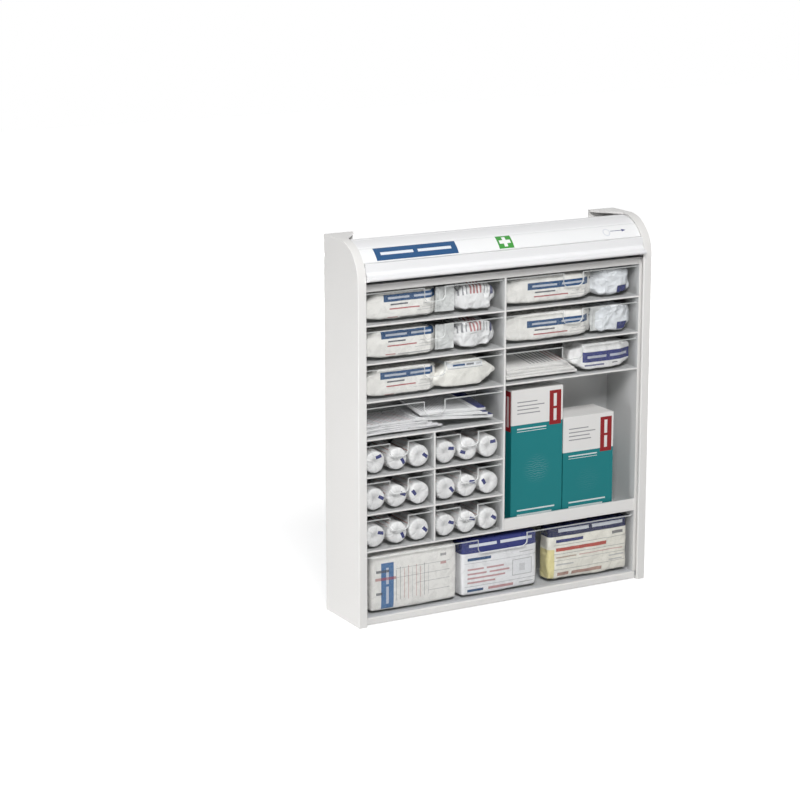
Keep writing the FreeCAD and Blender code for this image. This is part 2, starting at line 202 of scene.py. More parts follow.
def round_edges(piece, test, width, segments):
    """Round only the edges that pass a test."""
    pick(piece, "EDGE", test)
    bpy.ops.mesh.bevel(offset=width, segments=segments, affect="EDGES")
    done()


def inset(width, move):
    """Draw the selected faces in, then move them."""
    bpy.ops.mesh.inset(thickness=width)
    bpy.ops.transform.translate(value=move)


def slit(piece, test, place, normal):
    """Draw edges through the faces that pass a test, where a plane meets them."""
    pick(piece, "FACE", test)
    bpy.ops.mesh.bisect(plane_co=place, plane_no=normal)
    done()


print("modifiers ready")

# %% Copies
def copied(piece, name, offset=(0, 0, 0)):
    """A copy with its own mesh, moved by an offset inside the mesh."""
    twin = piece.copy()
    twin.data = piece.data.copy()
    twin.name = name
    bpy.context.scene.collection.objects.link(twin)
    twin.data.transform(Matrix.Translation(offset))
    return twin


def joined(name, pieces):
    """Several pieces made one object."""
    deselect()
    for piece in pieces:
        piece.select_set(True)
    bpy.context.view_layer.objects.active = pieces[0]
    if len(pieces) > 1:
        bpy.ops.object.join()
    pieces[0].name = name
    return pieces[0]


def mirrored(piece, name):
    """The same piece on the other side, with its faces turned outwards again."""
    twin = copied(piece, name)
    twin.data.transform(Matrix.Scale(-1, 4, (1, 0, 0)))
    pick(twin, "FACE", everything)
    bpy.ops.mesh.flip_normals()
    done()
    return twin


print("copies ready")

# %% Finished pieces and their maps
hard_angle = 40
outside = (-1.0, -1.0)


def corners(node):
    """Lowest and highest corner of a construction node."""
    low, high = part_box(node)
    return Vector(low), Vector(high)


def settle(piece, body, finishes, slot, *nodes, angle=hard_angle):
    """Smooth a finished piece, give it its finish and let it ride on its body.

    Flat faces of hard pieces stay flat.
    """
    activate(piece)
    bpy.ops.object.shade_smooth_by_angle(angle=math.radians(angle))
    if angle <= hard_angle:
        apply(piece, "WEIGHTED_NORMAL", keep_sharp=True)
    if not isinstance(finishes, (list, tuple)):
        finishes = [finishes]
    marks = [polygon.material_index for polygon in piece.data.polygons]
    piece.data.materials.clear()
    for finish in finishes:
        piece.data.materials.append(finish)
    for polygon, mark in zip(piece.data.polygons, marks):
        polygon.material_index = min(mark, len(finishes) - 1)
    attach(piece, body)
    if nodes:
        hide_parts(*nodes)
    return piece


def chart(piece, place, seen):
    """A map for print: place gives a point's spot on it, and faces that fail seen lie far outside."""
    layer = piece.data.uv_layers.new(name="print")
    for polygon in piece.data.polygons:
        for loop in polygon.loop_indices:
            point = piece.data.vertices[piece.data.loops[loop].vertex_index].co
            layer.data[loop].uv = place(point) if seen(polygon.normal) else outside
    return piece


def chart_front(piece, x, z, stretch=1.0):
    """A map of the front in metres from a lower left corner, without the faces that look back."""
    return chart(piece, lambda point: ((point.x - x) / stretch, point.z - z), lambda normal: normal.y < 0.4)


print("bench ready")

# %% [markdown]
# ## Shader arithmetic
# A mask such as "right of this line and below that one" is easier to read as a Python expression than as a
# row of nodes. `Wire` wraps a socket, and each operator adds one Math node. `Nodes` holds one tree, and its
# `node` method adds any other node: the settings are made first, then the sockets get their values or
# links. `Finish` is the tree of one material.

# %% Wires
class Wire:
    """A socket's output, as a number to work with."""

    def __init__(self, nodes, socket):
        self.nodes = nodes
        self.socket = socket

    def math(self, operation, first, second):
        return self.nodes.node("ShaderNodeMath", {"operation": operation}, {0: first, 1: second})

    def __add__(self, other):
        return self.math("ADD", self, other)

    __radd__ = __add__

    def __sub__(self, other):
        return self.math("SUBTRACT", self, other)

    def __rsub__(self, other):
        return self.math("SUBTRACT", other, self)

    def __mul__(self, other):
        return self.math("MULTIPLY", self, other)

    __rmul__ = __mul__

    def __truediv__(self, other):
        return self.math("DIVIDE", self, other)

    def __pow__(self, other):
        return self.math("POWER", self, other)

    def __gt__(self, other):
        return self.math("GREATER_THAN", self, other)

    def __lt__(self, other):
        return self.math("LESS_THAN", self, other)

    def __or__(self, other):
        return self.math("MAXIMUM", self, other)

    def __abs__(self):
        return self.math("ABSOLUTE", self, 0.0)

    def inside(self, low, high):
        return (self > low) * (self < high)

    def smooth(self, low, high):
        return self.nodes.node("ShaderNodeMapRange", {"interpolation_type": "SMOOTHSTEP"}, {
            "Value": self, "From Min": low, "From Max": high})


class Nodes:
    """A node tree, of a material or of the world."""

    def __init__(self, tree):
        self.tree = tree

    def node(self, kind, settings, sockets, output=0):
        node = self.tree.nodes.new(kind)
        for name, value in settings.items():
            setattr(node, name, value)
        for name, value in sockets.items():
            self.feed(node.inputs[name], value)
        return Wire(self, node.outputs[output])

    def feed(self, socket, value):
        if isinstance(value, Wire):
            self.tree.links.new(value.socket, socket)
        elif hasattr(value, "__len__") and len(value) == 3 and socket.type == "RGBA":
            socket.default_value = (*value, 1)
        else:
            socket.default_value = value

    def shown(self):
        """1 for the camera's rays, in reflections and through clear plastic too, and 0 for plain light."""
        kinds = ("Is Camera Ray", "Is Glossy Ray", "Is Transmission Ray")
        straight, mirrored_ray, through = [self.node("ShaderNodeLightPath", {}, {}, kind) for kind in kinds]
        return straight | mirrored_ray | through


print("wires ready")

# %% Finishes
class Finish(Nodes):
    """One material with its shader."""

    def __init__(self, name, **values):
        self.material = bpy.data.materials.new(name)
        self.material.use_nodes = True
        super().__init__(self.material.node_tree)
        self.shader = self.tree.nodes["Principled BSDF"]
        self.set(**values)

    def set(self, **values):
        """Feed the shader's sockets, named in lower case with underscores."""
        for name, value in values.items():
            self.feed(self.shader.inputs[name.replace("_", " ").title().replace("Ior", "IOR")], value)
        return self

    def place(self):
        return self.node("ShaderNodeTexCoord", {}, {}, "Object")

    def axes(self, vector):
        split = self.node("ShaderNodeSeparateXYZ", {}, {0: vector}).socket.node
        return [Wire(self, output) for output in split.outputs]

    def chart(self):
        """The piece's own map as two wires."""
        return self.axes(self.node("ShaderNodeUVMap", {"uv_map": "print"}, {}))[:2]

    def grain(self, scale, detail=3.0, stretch=(1, 1, 1), distortion=0.0):
        """Noise on Object coordinates, in cycles per metre."""
        where = self.node("ShaderNodeMapping", {}, {"Vector": self.place(), "Scale": stretch})
        return self.node("ShaderNodeTexNoise", {}, {
            "Vector": where, "Scale": scale, "Detail": detail, "Distortion": distortion})

    def mix(self, mask, first, second):
        """First colour where the mask is 0, second where it is 1."""
        return self.node("ShaderNodeMix", {"data_type": "RGBA"}, {0: mask, 6: first, 7: second}, 2)

    def bars(self, colour, across, up, bars, *where):
        """Bars of print, each one (left, right, foot, top, ink[, strength]), inside any masks given."""
        for left, right, foot, top, shade, *strength in bars:
            mask = across.inside(left, right) * up.inside(foot, top)
            for part in (*strength, *where):
                mask = mask * part
            colour = self.mix(mask, colour, shade)
        return colour

    def bump(self, height, distance, strength=1.0):
        wire = self.node("ShaderNodeBump", {}, {"Height": height, "Distance": distance, "Strength": strength})
        return self.set(normal=wire)


print("shader bench ready")

# %% [markdown]
# ## White plastics
# The shell is moulded in a satin white with a faint orange peel. The slats are extruded, so their marks run
# along their length. The compartment box is made of plain sheet, in a greyer white that is painted shade for
# its insides, while its narrow front edges get the shell's paler white as painted light. Each gets its colour
# variation from a broad noise and its surface from a fine one, so none of them is one flat colour, and the
# roughness follows the same noise.

# %% Finishes for the shell, the slats and the box
def white_plastic(name, tint, roughness, fine, depth, stretch=(1, 1, 1)):
    """A satin white: broad noise in the colour, a fine one in the surface."""
    finish = Finish(name, specular_ior_level=0.3, coat_roughness=0.2)
    broad = finish.grain(scale=6.0, detail=2.0)
    shade = finish.mix(broad, [c * 0.965 for c in tint], tint)
    peel = finish.grain(fine, 3.0, stretch)
    finish.set(base_color=shade, roughness=roughness - 0.08 + 0.16 * peel, coat_weight=0.02 + 0.03 * broad)
    return finish.bump(peel, depth, strength=0.35).material


def turned_steel(name):
    finish = Finish(name, metallic=1.0, specular_ior_level=0.5)
    turned = finish.grain(scale=900.0, detail=2.0)
    colour = finish.mix(turned, (0.42, 0.43, 0.45), (0.62, 0.63, 0.65))
    finish.set(base_color=colour, roughness=0.26 + 0.16 * turned)
    return finish.bump(turned, 0.1 * mm, strength=0.3).material


along_x = (0.04, 1, 1)
shell_white = white_plastic("shell_white", (0.80, 0.79, 0.775), roughness=0.36, fine=420.0, depth=0.3 * mm)
slat_white = white_plastic("slat_white", (0.85, 0.85, 0.86), roughness=0.32, fine=700.0, depth=0.3 * mm,
                           stretch=along_x)
# Painted shade: the box is given a greyer white than the shell, for the shade inside its compartments.
box_white = white_plastic("box_white", (0.61, 0.615, 0.615), roughness=0.4, fine=260.0, depth=0.2 * mm)
inner_grey = white_plastic("inner_grey", (0.62, 0.63, 0.65), roughness=0.5, fine=300.0, depth=0.4 * mm)
steel = turned_steel("screw_steel")
print("white plastics and steel")

# %% [markdown]
# ## Side panels
# Each side panel is one moulding: a wall with a rounded top corner, a rim that turns inwards all round, a
# wide flange at the back that meets the wall, and a corner gusset on top. It could be cut from one block,
# but the wall with its rim is an outline with its inner face inset and pushed in, which leaves an even
# wall, and the flange and gusset are joined to it. The other side is a mirror image.

# %% Side panels
panel_low, panel_high = corners("side_panel_right")
flange_x, front_y, _ = panel_low
half_width, back_y, height = panel_high
corner_radius = 47.0 * mm
wall = 2.6 * mm
rim_x = 189.0 * mm
rim_round = 0.9 * mm
back_round = 1.6 * mm
arc_y = front_y + corner_radius
arc_z = height - corner_radius
near = 1e-6


def arc_points(centre_z, radius, start, end, count):
    """Points on an arch; 0 degrees is its foot at the front and 90 its top."""
    points = []
    for i in range(count + 1):
        angle = math.radians(start + (end - start) * i / count)
        points.append((arc_y - radius * math.cos(angle), centre_z + radius * math.sin(angle)))
    return points


def on_back_edge(vertex):
    return abs(vertex.co.x - half_width) + abs(vertex.co.y - back_y) < near


outline = [(front_y, 0)] + arc_points(arc_z, corner_radius, 0, 90, 28) + [(back_y, height), (back_y, 0)]
panel = section("side_panel_right_shell", outline, rim_x, half_width)
round_edges(panel, lambda edge: all(on_back_edge(vertex) for vertex in edge.verts), back_round, 3)
soften(panel, rim_round, 3)
pick(panel, "FACE", lambda face: face.normal.x < -0.99)
bpy.ops.mesh.inset(thickness=wall - rim_round)
bpy.ops.mesh.extrude_region_move(TRANSFORM_OT_translate={"value": (half_width - rim_x - wall, 0, 0)})
done()
print("walls with rims:", len(panel.data.polygons), "faces each")

# %% Flanges and gussets
sunk = 0.02 * mm
flange_end = rim_x + 2 * mm
flange_round = 0.3 * mm
gusset_reach = 40 * mm
gusset_slant = 35 * mm
flange = block("flange", (flange_x, back_y - wall + sunk, sunk), (flange_end, back_y - sunk, height - sunk))
gusset = block("gusset", (flange_x, back_y - gusset_reach, height - wall + sunk),
               (flange_end, back_y - wall, height - sunk))
pick(gusset, "VERT", lambda v: v.co.x < flange_x + mm and v.co.y < back_y - gusset_slant)
bpy.ops.transform.translate(value=(0, gusset_slant, 0))
done()

hang_x = 182 * mm
hang_zs = (25 * mm, 438 * mm)
hang_radius = 2.6 * mm
through = 12 * mm
screw_radius = 2.9 * mm
recess_radius = 3.1 * mm
recess_depth = 1.6 * mm
screw_low, screw_high = corners("cover_screws")
screw_x = screw_high.x - screw_radius
screw_zs = (screw_low.z + screw_radius, (screw_low.z + screw_high.z) / 2, screw_high.z - screw_radius)
wall_holes = [(hang_x, z, hang_radius, through) for z in hang_zs]
recesses = [(screw_x, z, recess_radius, recess_depth) for z in screw_zs]
for x, z, radius, depth in wall_holes + recesses:
    combine(flange, cylinder("hole", 24, radius, depth, (x, back_y, z), "Y"), "DIFFERENCE")
soften(flange, flange_round)
soften(gusset, flange_round)
panel = joined("side_panel_right_shell", [panel, flange, gusset])
left_panel = mirrored(panel, "side_panel_left_shell")
settle(panel, "cabinet", shell_white, "shell_white", "side_panel_right")
settle(left_panel, "cabinet", shell_white, "shell_white", "side_panel_left")
print("side panels:", len(panel.data.polygons), "faces each")

# %% [markdown]
# ## Screws
# Six countersunk screws hold the back cover and four hold the base. Each head lies just under the surface
# in its own recess, with a cross in it. The cross could be painted on, but a cut one catches the light. One
# screw is modelled and copied.

# %% Screws
head_depth = 1.0 * mm
head_sink = 0.72 * mm
cross_long = 3.4 * mm
cross_wide = 0.75 * mm
screw = cylinder("screw", 24, screw_radius, head_depth)
pick(screw, "FACE", upward)
inset(0.35 * mm, (0, 0, 0.12 * mm))
done()
for wide, deep in ((cross_long, cross_wide), (cross_wide, cross_long)):
    arm = block("arm", (-wide / 2, -deep / 2, 0.1 * mm), (wide / 2, deep / 2, 2 * mm))
    combine(screw, arm, "DIFFERENCE")


def placed_screws(name, places, turn):
    """Copies of the screw, turned to their surface."""
    made = []
    for place in places:
        twin = copied(screw, name)
        twin.data.transform(Matrix.Translation(place) @ turn)
        made.append(twin)
    return joined(name, made)


sides = (-1, 1)
turn_back = Matrix.Rotation(-math.pi / 2, 4, "X")
turn_down = Matrix.Rotation(math.pi, 4, "X")
base_low, base_high = corners("base_screws")
base_screw_x = base_high.x - screw_radius
base_screw_ys = (base_low.y + screw_radius, base_high.y - screw_radius)
back_places = [(side * screw_x, back_y - head_sink, z) for side in sides for z in screw_zs]
base_places = [(side * base_screw_x, y, head_sink) for side in sides for y in base_screw_ys]
back_screws = placed_screws("cover_screw_heads", back_places, turn_back)
under_screws = placed_screws("base_screw_heads", base_places, turn_down)
bpy.data.objects.remove(screw)
settle(back_screws, "cabinet", steel, "steel", "cover_screws")
settle(under_screws, "cabinet", steel, "steel", "base_screws")
print("screws:", len(back_places) + len(base_places))

# %% [markdown]
# ## Flat pieces of the box
# Sides, back, top, deck, shelves and dividers are flat sheets with slightly rounded edges. Their places
# come from the construction, so one helper makes each of them: a block at the node's corners with its edges
# softened. A node that holds several sheets gives only its overall box, so shelves and small dividers are
# repeated at their pitch. A narrow flange on each side closes the gap to the shell behind the shutter's
# groove.

# %% Sheets and shelves of the box
sheet_round = 0.4 * mm
row_pitch = 44.5 * mm
shelf_wall = 2.0 * mm


def sheet_piece(piece, node):
    """A node's sheets: painted shade in their greyer faces and painted light in their paler narrow front
    edges.
    """
    for polygon in piece.data.polygons:
        # Painted light and shade: faces that look to the front get the shell's paler white, all others and
        # the back's front face the greyer box white.
        polygon.material_index = 1 if polygon.normal.y < -0.5 and node != "box_back" else 0
    return settle(piece, "cabinet", [box_white, shell_white], "box_white", node)


def repeated(name, node, count, thick):
    """Copies of one sheet up a node's box, one for each row."""
    low, high = corners(node)
    sheets = []
    for row in range(count):
        base = low.z + row_pitch * row
        sheet = block(name, (low.x, low.y, base), (high.x, high.y, base + thick))
        sheets.append(soften(sheet, sheet_round))
    return sheet_piece(joined(name, sheets), node)


single_sheets = ("box_side_left", "box_side_right", "box_back", "box_top", "lower_deck", "centre_divider",
                 "bay_lip")
for node in single_sheets:
    sheet_piece(soften(block(node + "_sheet", *corners(node)), sheet_round), node)
repeated("shelf_sheets_left", "shelves_left", 6, shelf_wall)
repeated("shelf_sheets_right", "shelves_right", 3, shelf_wall)
repeated("small_divider_sheets", "small_dividers", 3, row_pitch - shelf_wall)
print("box sheets:", len(single_sheets) + 3)

# %% Rails, flange strips and the pieces that keep their solids
head_drop = 1.4 * mm
low, high = corners("head_rail")
head_rail = soften(block("head_rail_strip", low - Vector((0, 0, head_drop)), high), 0.5 * mm)
settle(head_rail, "cabinet", shell_white, "shell_white", "head_rail")
strip_low = Vector((187.6, -31.5, 9.2)) * mm
strip_high = Vector((197.3, -30.6, 402.8)) * mm
for side, word in zip(sides, ("left", "right")):
    x0, x1 = sorted((side * strip_low.x, side * strip_high.x))
    narrow = block("box_flange_" + word, (x0, *strip_low.yz), (x1, *strip_high.yz))
    settle(soften(narrow, flange_round), "cabinet", shell_white, "shell_white")
bottom_rail = soften(block("bottom_rail_strip", *corners("bottom_rail")), 0.9 * mm, 3)
settle(bottom_rail, "cabinet", shell_white, "shell_white", "bottom_rail")


def recoat(finish, *nodes):
    """Give a finish to construction nodes that keep their solids."""
    for node in nodes:
        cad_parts[node].data.materials.clear()
        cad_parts[node].data.materials.append(finish)


recoat(inner_grey, "back_cover", "base_panel", "guide_track_left", "guide_track_right")
recoat(slat_white, "back_slats")
print("rails and strips")

# %% [markdown]
# ## Shutter rail
# The lowest part of the shutter is a stiff rail with a rounded finger lip. Its section stays the same from
# end to end, so it is drawn once and extruded along the width. The lip could be a separate bar, but the
# real rail is one extrusion, and so is this one. Two thin caps close its ends, and their tongues run in the
# grooves behind the rims.

# %% Rail, lip and end caps
rail_box_low, rail_box_high = corners("shutter_rail")
rail_low = rail_box_low.z
rail_top = rail_box_high.z
curtain_inner = rail_box_high.y
curtain_front = -35.9 * mm
cap_wall = 1.5 * mm
rail_half = rail_box_high.x + cap_wall
tongue_end = corners("rail_end_caps")[1].x
rail_front_wall = 1.2 * mm
rail_web = 2.0 * mm
edge_cut = 0.6 * mm
tongue_height = 5 * mm
tongue_gap = 0.1 * mm
nose_y, nose_z, nose_radius = -42.2 * mm, 411.2 * mm, 2.75 * mm
nose_from, nose_to, nose_steps = -85.0, 85.4, 12
sweep_y, sweep_z, sweep_run, sweep_rise, sweep_power = -41.9 * mm, 413.95 * mm, 6.0 * mm, 4.4 * mm, 2.2
sweep_steps = 8


def lip_points():
    """The front of the rail from foot to top: a round nose, then a hollow sweep up to the flat face."""
    points = [(curtain_front, rail_low), (curtain_front - 0.8 * mm, rail_low + 0.2 * mm)]
    for i in range(nose_steps + 1):
        angle = math.radians(nose_from + (nose_to - nose_from) * i / nose_steps)
        points.append((nose_y - nose_radius * math.cos(angle), nose_z + nose_radius * math.sin(angle)))
    for i in range(1, sweep_steps + 1):
        step = i / sweep_steps
        points.append((sweep_y + sweep_run * step, sweep_z + sweep_rise * step ** sweep_power))
    return points + [(curtain_front, rail_top - edge_cut), (curtain_front + edge_cut, rail_top)]


pocket_y = curtain_front + rail_front_wall
pocket = [(curtain_inner, rail_top), (curtain_inner, rail_top - rail_web), (pocket_y, rail_top - rail_web),
          (pocket_y, rail_low + rail_web), (curtain_inner, rail_low + rail_web), (curtain_inner, rail_low)]
cap_back = [(curtain_inner, rail_top), (curtain_inner, rail_low)]
rail = section("shutter_rail_strip", lip_points() + pocket, cap_wall - rail_half, rail_half - cap_wall)
cap = section("rail_cap_right", lip_points() + cap_back, rail_half - cap_wall, rail_half)
tongue = block("tongue", (rail_half - 0.5 * mm, curtain_front + 0.7 * mm, rail_low + tongue_gap),
               (tongue_end, curtain_inner - tongue_gap, rail_low + tongue_height))
soften(tongue, 0.4 * mm)
cap = joined("rail_cap_right", [cap, tongue])
other_cap = mirrored(cap, "rail_cap_left")
settle(rail, "shutter", slat_white, "slat_white", "shutter_rail", angle=30)
settle(cap, "shutter", slat_white, "slat_white", "rail_end_caps", angle=30)
settle(other_cap, "shutter", slat_white, "slat_white", "rail_end_caps", angle=30)
print("rail with", len(rail.data.polygons), "faces")

# %% [markdown]
# ## Slats over the top
# The shutter is a row of hollow plastic slats that hook into each other, so thin grooves show between them.
# The path they follow is a straight front, a quarter round over the top and a smaller quarter round down
# the back. `strip` draws a slat's section along that path with its long edges rounded, and extrudes it
# across the cabinet.

# %% Slats on the arch
curtain_radius = arc_y - curtain_front
back_radius = 32.0 * mm
back_arc_z = arc_z + curtain_radius - back_radius
front_arc = curtain_radius * math.pi / 2
slat_half = corners("arch_slats")[1].x
slat_pitch = 20.0 * mm
slat_width = 19.4 * mm
slat_thick = 3.2 * mm
label_start = 24.2 * mm


def on_path(along, sink):
    """The point at a length along the shutter's path, sunk below its outer face."""
    if along < 0:
        return curtain_front + sink, arc_z + along
    if along < front_arc:
        angle, radius, centre_z = along / curtain_radius, curtain_radius - sink, arc_z
    else:
        angle = math.pi / 2 + (along - front_arc) / back_radius
        radius, centre_z = back_radius - sink, back_arc_z
    return arc_y - radius * math.cos(angle), centre_z + radius * math.sin(angle)


def strip(name, start, thick, rounding):
    """One slat's section along the path, its long edges rounded, across the cabinet."""
    outer = []
    for i in range(17):
        along = slat_width * i / 16
        edge = min(along, slat_width - along)
        outer.append(on_path(start + along, rounding * (1 - min(edge / rounding, 1.0)) ** 2))
    inner = [on_path(start + slat_width * i / 8, thick) for i in range(8, -1, -1)]
    return section(name, outer + inner, -slat_half, slat_half)


slats = [strip("arch_slat", label_start + slat_pitch * i, slat_thick, 0.7 * mm) for i in range(1, 5)]
slat_count = len(slats)
arch = joined("arch_slat_strips", slats)
settle(arch, "cabinet", slat_white, "slat_white", "arch_slats", angle=50)
print("slats on the arch:", slat_count)

# %% [markdown]
# ## Label slat
# The first slat above the rail carries the print: a blue band with two plain bars, the green sign with its
# white cross, and a small arrow that shows which way the shutter is turned. The print lies on a curve, so
# it is placed by the angle around the arch and by the width, both from Object coordinates.

# %% Label slat and its print
sign_green = (0.055, 0.31, 0.05)
cross_white = (0.88, 0.89, 0.88)
label_blue = (0.022, 0.085, 0.21)
label_pale = (0.78, 0.81, 0.86)
arrow_navy = (0.03, 0.04, 0.16)
label_bars = [
    (-169.6, -62.6, 33.4, 56.2, label_blue), (-162.5, -120, 42.4, 47.4, label_pale),
    (-114, -70, 42.4, 47.4, label_pale), (-7.5, 12.5, 33.4, 56.8, sign_green),
    (0.2, 4.8, 36.4, 53.8, cross_white), (-5.0, 10.0, 42.0, 48.2, cross_white),
    (150, 168, 44.9, 45.9, arrow_navy)]
arrow_neck, arrow_tip, arrow_turn, arrow_slope = 166, 172, 45.4, 0.42
ring_x, ring_turn, ring_squeeze, ring_size, ring_band = 144, 44, 0.75, 20, 6.5


def label_finish(name):
    """Print in millimetres across and degrees around the arch."""
    finish = Finish(name, specular_ior_level=0.3)
    side, deep, up = finish.axes(finish.place())
    turn = up.math("ARCTAN2", up - arc_z, arc_y - deep) * (180 / math.pi)
    across = side / mm
    paper_grain = finish.grain(500.0, 3.0, (0.1, 1, 1))
    colour = finish.mix(finish.grain(8.0, 2.0), (0.88, 0.885, 0.89), (0.90, 0.905, 0.91))
    colour = finish.bars(colour, across, turn, label_bars)
    in_slope = abs(turn - arrow_turn) < (arrow_tip - across) * arrow_slope
    colour = finish.mix(across.inside(arrow_neck, arrow_tip) * in_slope, colour, arrow_navy)
    from_middle = (across - ring_x) ** 2 + ((turn - ring_turn) * ring_squeeze) ** 2
    colour = finish.mix((abs(from_middle - ring_size) < ring_band) * 0.22, colour, (0.2, 0.25, 0.4))
    finish.set(base_color=colour, roughness=0.26 + 0.1 * paper_grain)
    return finish.bump(paper_grain, 0.2 * mm, strength=0.25).material


label_strip = strip("label_slat_strip", label_start, 0.9 * mm, 0.3 * mm)
settle(label_strip, "label", label_finish("label_white"), "label_white", "label_slat", angle=50)
print("label slat with", len(label_bars), "bars of print")

# %% [markdown]
# ## Curtain behind the rail
# When the rail goes down, slats follow it out of the arch. Here the curtain is one piece for a blend in which
# points near its upper end stay with the cabinet and points near its lower end follow the rail; the blend
# itself is not set up here. It is drawn closed, with a groove at every slat, and then each point is moved up
# to the height from which that blend would bring it back down again. While the shutter is open it lies folded
# up in the rail's pocket. Its lowest slat lies a little deeper, because the curved label slat stands in front
# of it when the shutter is down.

# %% Curtain folded up for the rail's travel
travel = 396.5 * mm
blend_start = 425.0 * mm
blend_end = 409.3 * mm
closed_low = 32.4 * mm
curtain_end = 43.5 * mm
curtain_sink = 1.3 * mm
curtain_thick = 1.4 * mm
lowest_sink = 0.8 * mm
groove = 0.7 * mm
half_groove = 0.1 * mm
slat_profile = [(0, groove), (0.6, half_groove), (1.4, 0), (7, 0), (12.5, 0), (18, 0), (18.8, half_groove),
                (19.4, groove)]


def folded(z):
    """The open height of a point whose closed height is z, found by halving."""
    if z >= blend_start:
        return z
    low, high = blend_end, blend_start
    for _ in range(60):
        middle = (low + high) / 2
        step = (blend_start - middle) / (blend_start - blend_end)
        weight = step * step * (3 - 2 * step)
        if middle - weight * travel < z:
            low = middle
        else:
            high = middle
    return (low + high) / 2


lengths = []
along = closed_low - arc_z
deeper = lowest_sink
while along < curtain_end:
    for offset, sink in slat_profile:
        lengths.append((min(along + offset * mm, curtain_end), sink + deeper))
    along += slat_pitch
    deeper = 0.0
lengths = [step for i, step in enumerate(lengths) if i == 0 or step[0] > lengths[i - 1][0]]
outer = [on_path(place, curtain_sink + sink) for place, sink in lengths]
inner = [on_path(place, curtain_sink + curtain_thick) for place, sink in reversed(lengths)]
curtain = section("curtain_strip", outer + inner, -slat_half, slat_half)
for vertex in curtain.data.vertices:
    vertex.co.z = folded(vertex.co.z)
activate(curtain)
bpy.ops.object.shade_smooth_by_angle(angle=math.radians(30))
curtain.data.materials.append(slat_white)
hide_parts("shutter_curtain")
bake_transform(curtain)
print("curtain points:", len(curtain.data.vertices))

# %% [markdown]
# ## Clear trays
# Each tray is moulded in clear plastic: a floor, four thin walls, and a finger notch with round corners in
# the front. A block is inset at its top and pushed down, which leaves walls of even thickness, and the
# notch is cut out. Cut edges of clear plastic gather light, so the rim and the notch show as a thin pale
# line: their faces get a finish of their own, and on the front wall the same line is drawn by the distance
# from the notch, a box with two round corners.

# %% Clear plastic and its edges
# In millimetres, as on the tray's own map.
notch_depth = 16.0
notch_round = 6.0
line_width = 0.9
line_pale = (0.80, 0.82, 0.81)
line_alpha = 0.5


def clear_plastic(name, tint, least, most, roughness, notch_width=0.0):
    """Clear plastic with smears; with a notch width, also a pale line along the rim and the notch."""
    finish = Finish(name, specular_ior_level=0.6, roughness=roughness)
    smear = finish.grain(40.0, 3.0, (1, 1, 0.3))
    colour = finish.mix(smear, [c * 0.94 for c in tint], tint)
    alpha = least + (most - least) * smear
    if notch_width:
        across, up = [wire / mm for wire in finish.chart()]
        half = notch_width / mm / 2
        beside = (abs(across) - (half - notch_round)) | 0.0
        below = (0.0 - up - (notch_depth - notch_round)) | 0.0
        distance = (beside ** 2 + below ** 2) ** 0.5 - notch_round
        line = distance.inside(0, line_width) | up.inside(-line_width, 1) * (abs(across) > half)
        colour = finish.mix(line, colour, line_pale)
        alpha = alpha + line_alpha * line
    finish.set(base_color=colour, alpha=alpha)
    return finish.bump(finish.grain(120.0, 2.0), 0.2 * mm, strength=0.2).material


tray_edge = clear_plastic("tray_edge", (0.86, 0.88, 0.87), least=0.8, most=1.0, roughness=0.2)
print("clear plastic")

# %% Trays
tray_wall = 1.6 * mm
tray_round = 2.2 * mm
slack = 0.1 * mm


def tray_shell(name, node, notch_width):
    """A tray with its notch; its rim and the notch's faces are marked for the edge finish."""
    low, high = corners(node)
    tray = block(name, low, high)
    round_edges(tray, lambda edge: abs(edge.verts[0].co.z - edge.verts[1].co.z) > 10 * mm, tray_round, 4)
    pick(tray, "FACE", upward)
    bpy.ops.mesh.inset(thickness=tray_wall)
    bpy.ops.mesh.extrude_region_move(TRANSFORM_OT_translate={"value": (0, 0, low.z + tray_wall - high.z)})
    done()
    middle = (low.x + high.x) / 2
    half = notch_width / 2
    foot = high.z - notch_depth * mm
    cutter = block("notch", (middle - half, low.y - 5 * mm, foot),
                   (middle + half, low.y + 6 * mm, high.z + 20 * mm))
    round_edges(cutter, lambda edge: all(vertex.co.z < foot + mm for vertex in edge.verts)
                and abs(edge.verts[0].co.x - edge.verts[1].co.x) < mm, notch_round * mm, 6)
    combine(tray, cutter, "DIFFERENCE")
    for polygon in tray.data.polygons:
        place = polygon.center
        rim = place.z > high.z - slack and upward(polygon)
        in_notch = (place.z > foot - slack and abs(place.x - middle) < half + slack
                    and low.y < place.y < low.y + tray_wall and abs(polygon.normal.y) < 0.5)
        polygon.material_index = 1 if rim or in_notch else 0
    return chart_front(tray, middle, high.z)


def spread_trays(pattern, names, notch_width):
    """Model the first tray of a size and copy it to the others."""
    first = tray_shell("clear_" + names[0], "tray_" + names[0], notch_width)
    start = corners("tray_" + names[0])[0]
    tray_clear = clear_plastic("tray_clear_" + pattern, (0.5, 0.52, 0.51), least=0.015, most=0.05,
                               roughness=0.08, notch_width=notch_width)
    trays = [first]
    for name in names[1:]:
        trays.append(copied(first, "clear_" + name, corners("tray_" + name)[0] - start))
    for name, tray in zip(names, trays):
        settle(tray, "drawer_" + name, [tray_clear, tray_edge], "clear_plastic", "tray_" + name, angle=30)


wide_names = ["left_%d" % n for n in range(1, 5)] + ["right_%d" % n for n in range(1, 4)]
small_names = ["small_%d" % n for n in range(1, 7)]
spread_trays("wide", wide_names, notch_width=27 * mm)
spread_trays("small", small_names, notch_width=24 * mm)
spread_trays("base", ["base"], notch_width=68 * mm)
print("trays:", len(wide_names) + len(small_names) + 1)

# %% [markdown]
# ## Soft contents: how they get their shape
# A dressing pouch is a soft roll in a film bag whose two ends are sealed flat. It starts as a block with
# its ends drawn in, a little too small, is remeshed to an even grid and then blown up by Blender's cloth
# with pressure and no gravity. The movement is capped, so that it can't outgrow its tray, and afterwards
# two noises press folds into the film. All pieces swell in the same twenty frames, which is much quicker
# than one after the other.

# %% Pinching and swelling
swell_frames = 20
seam_depth = 0.28


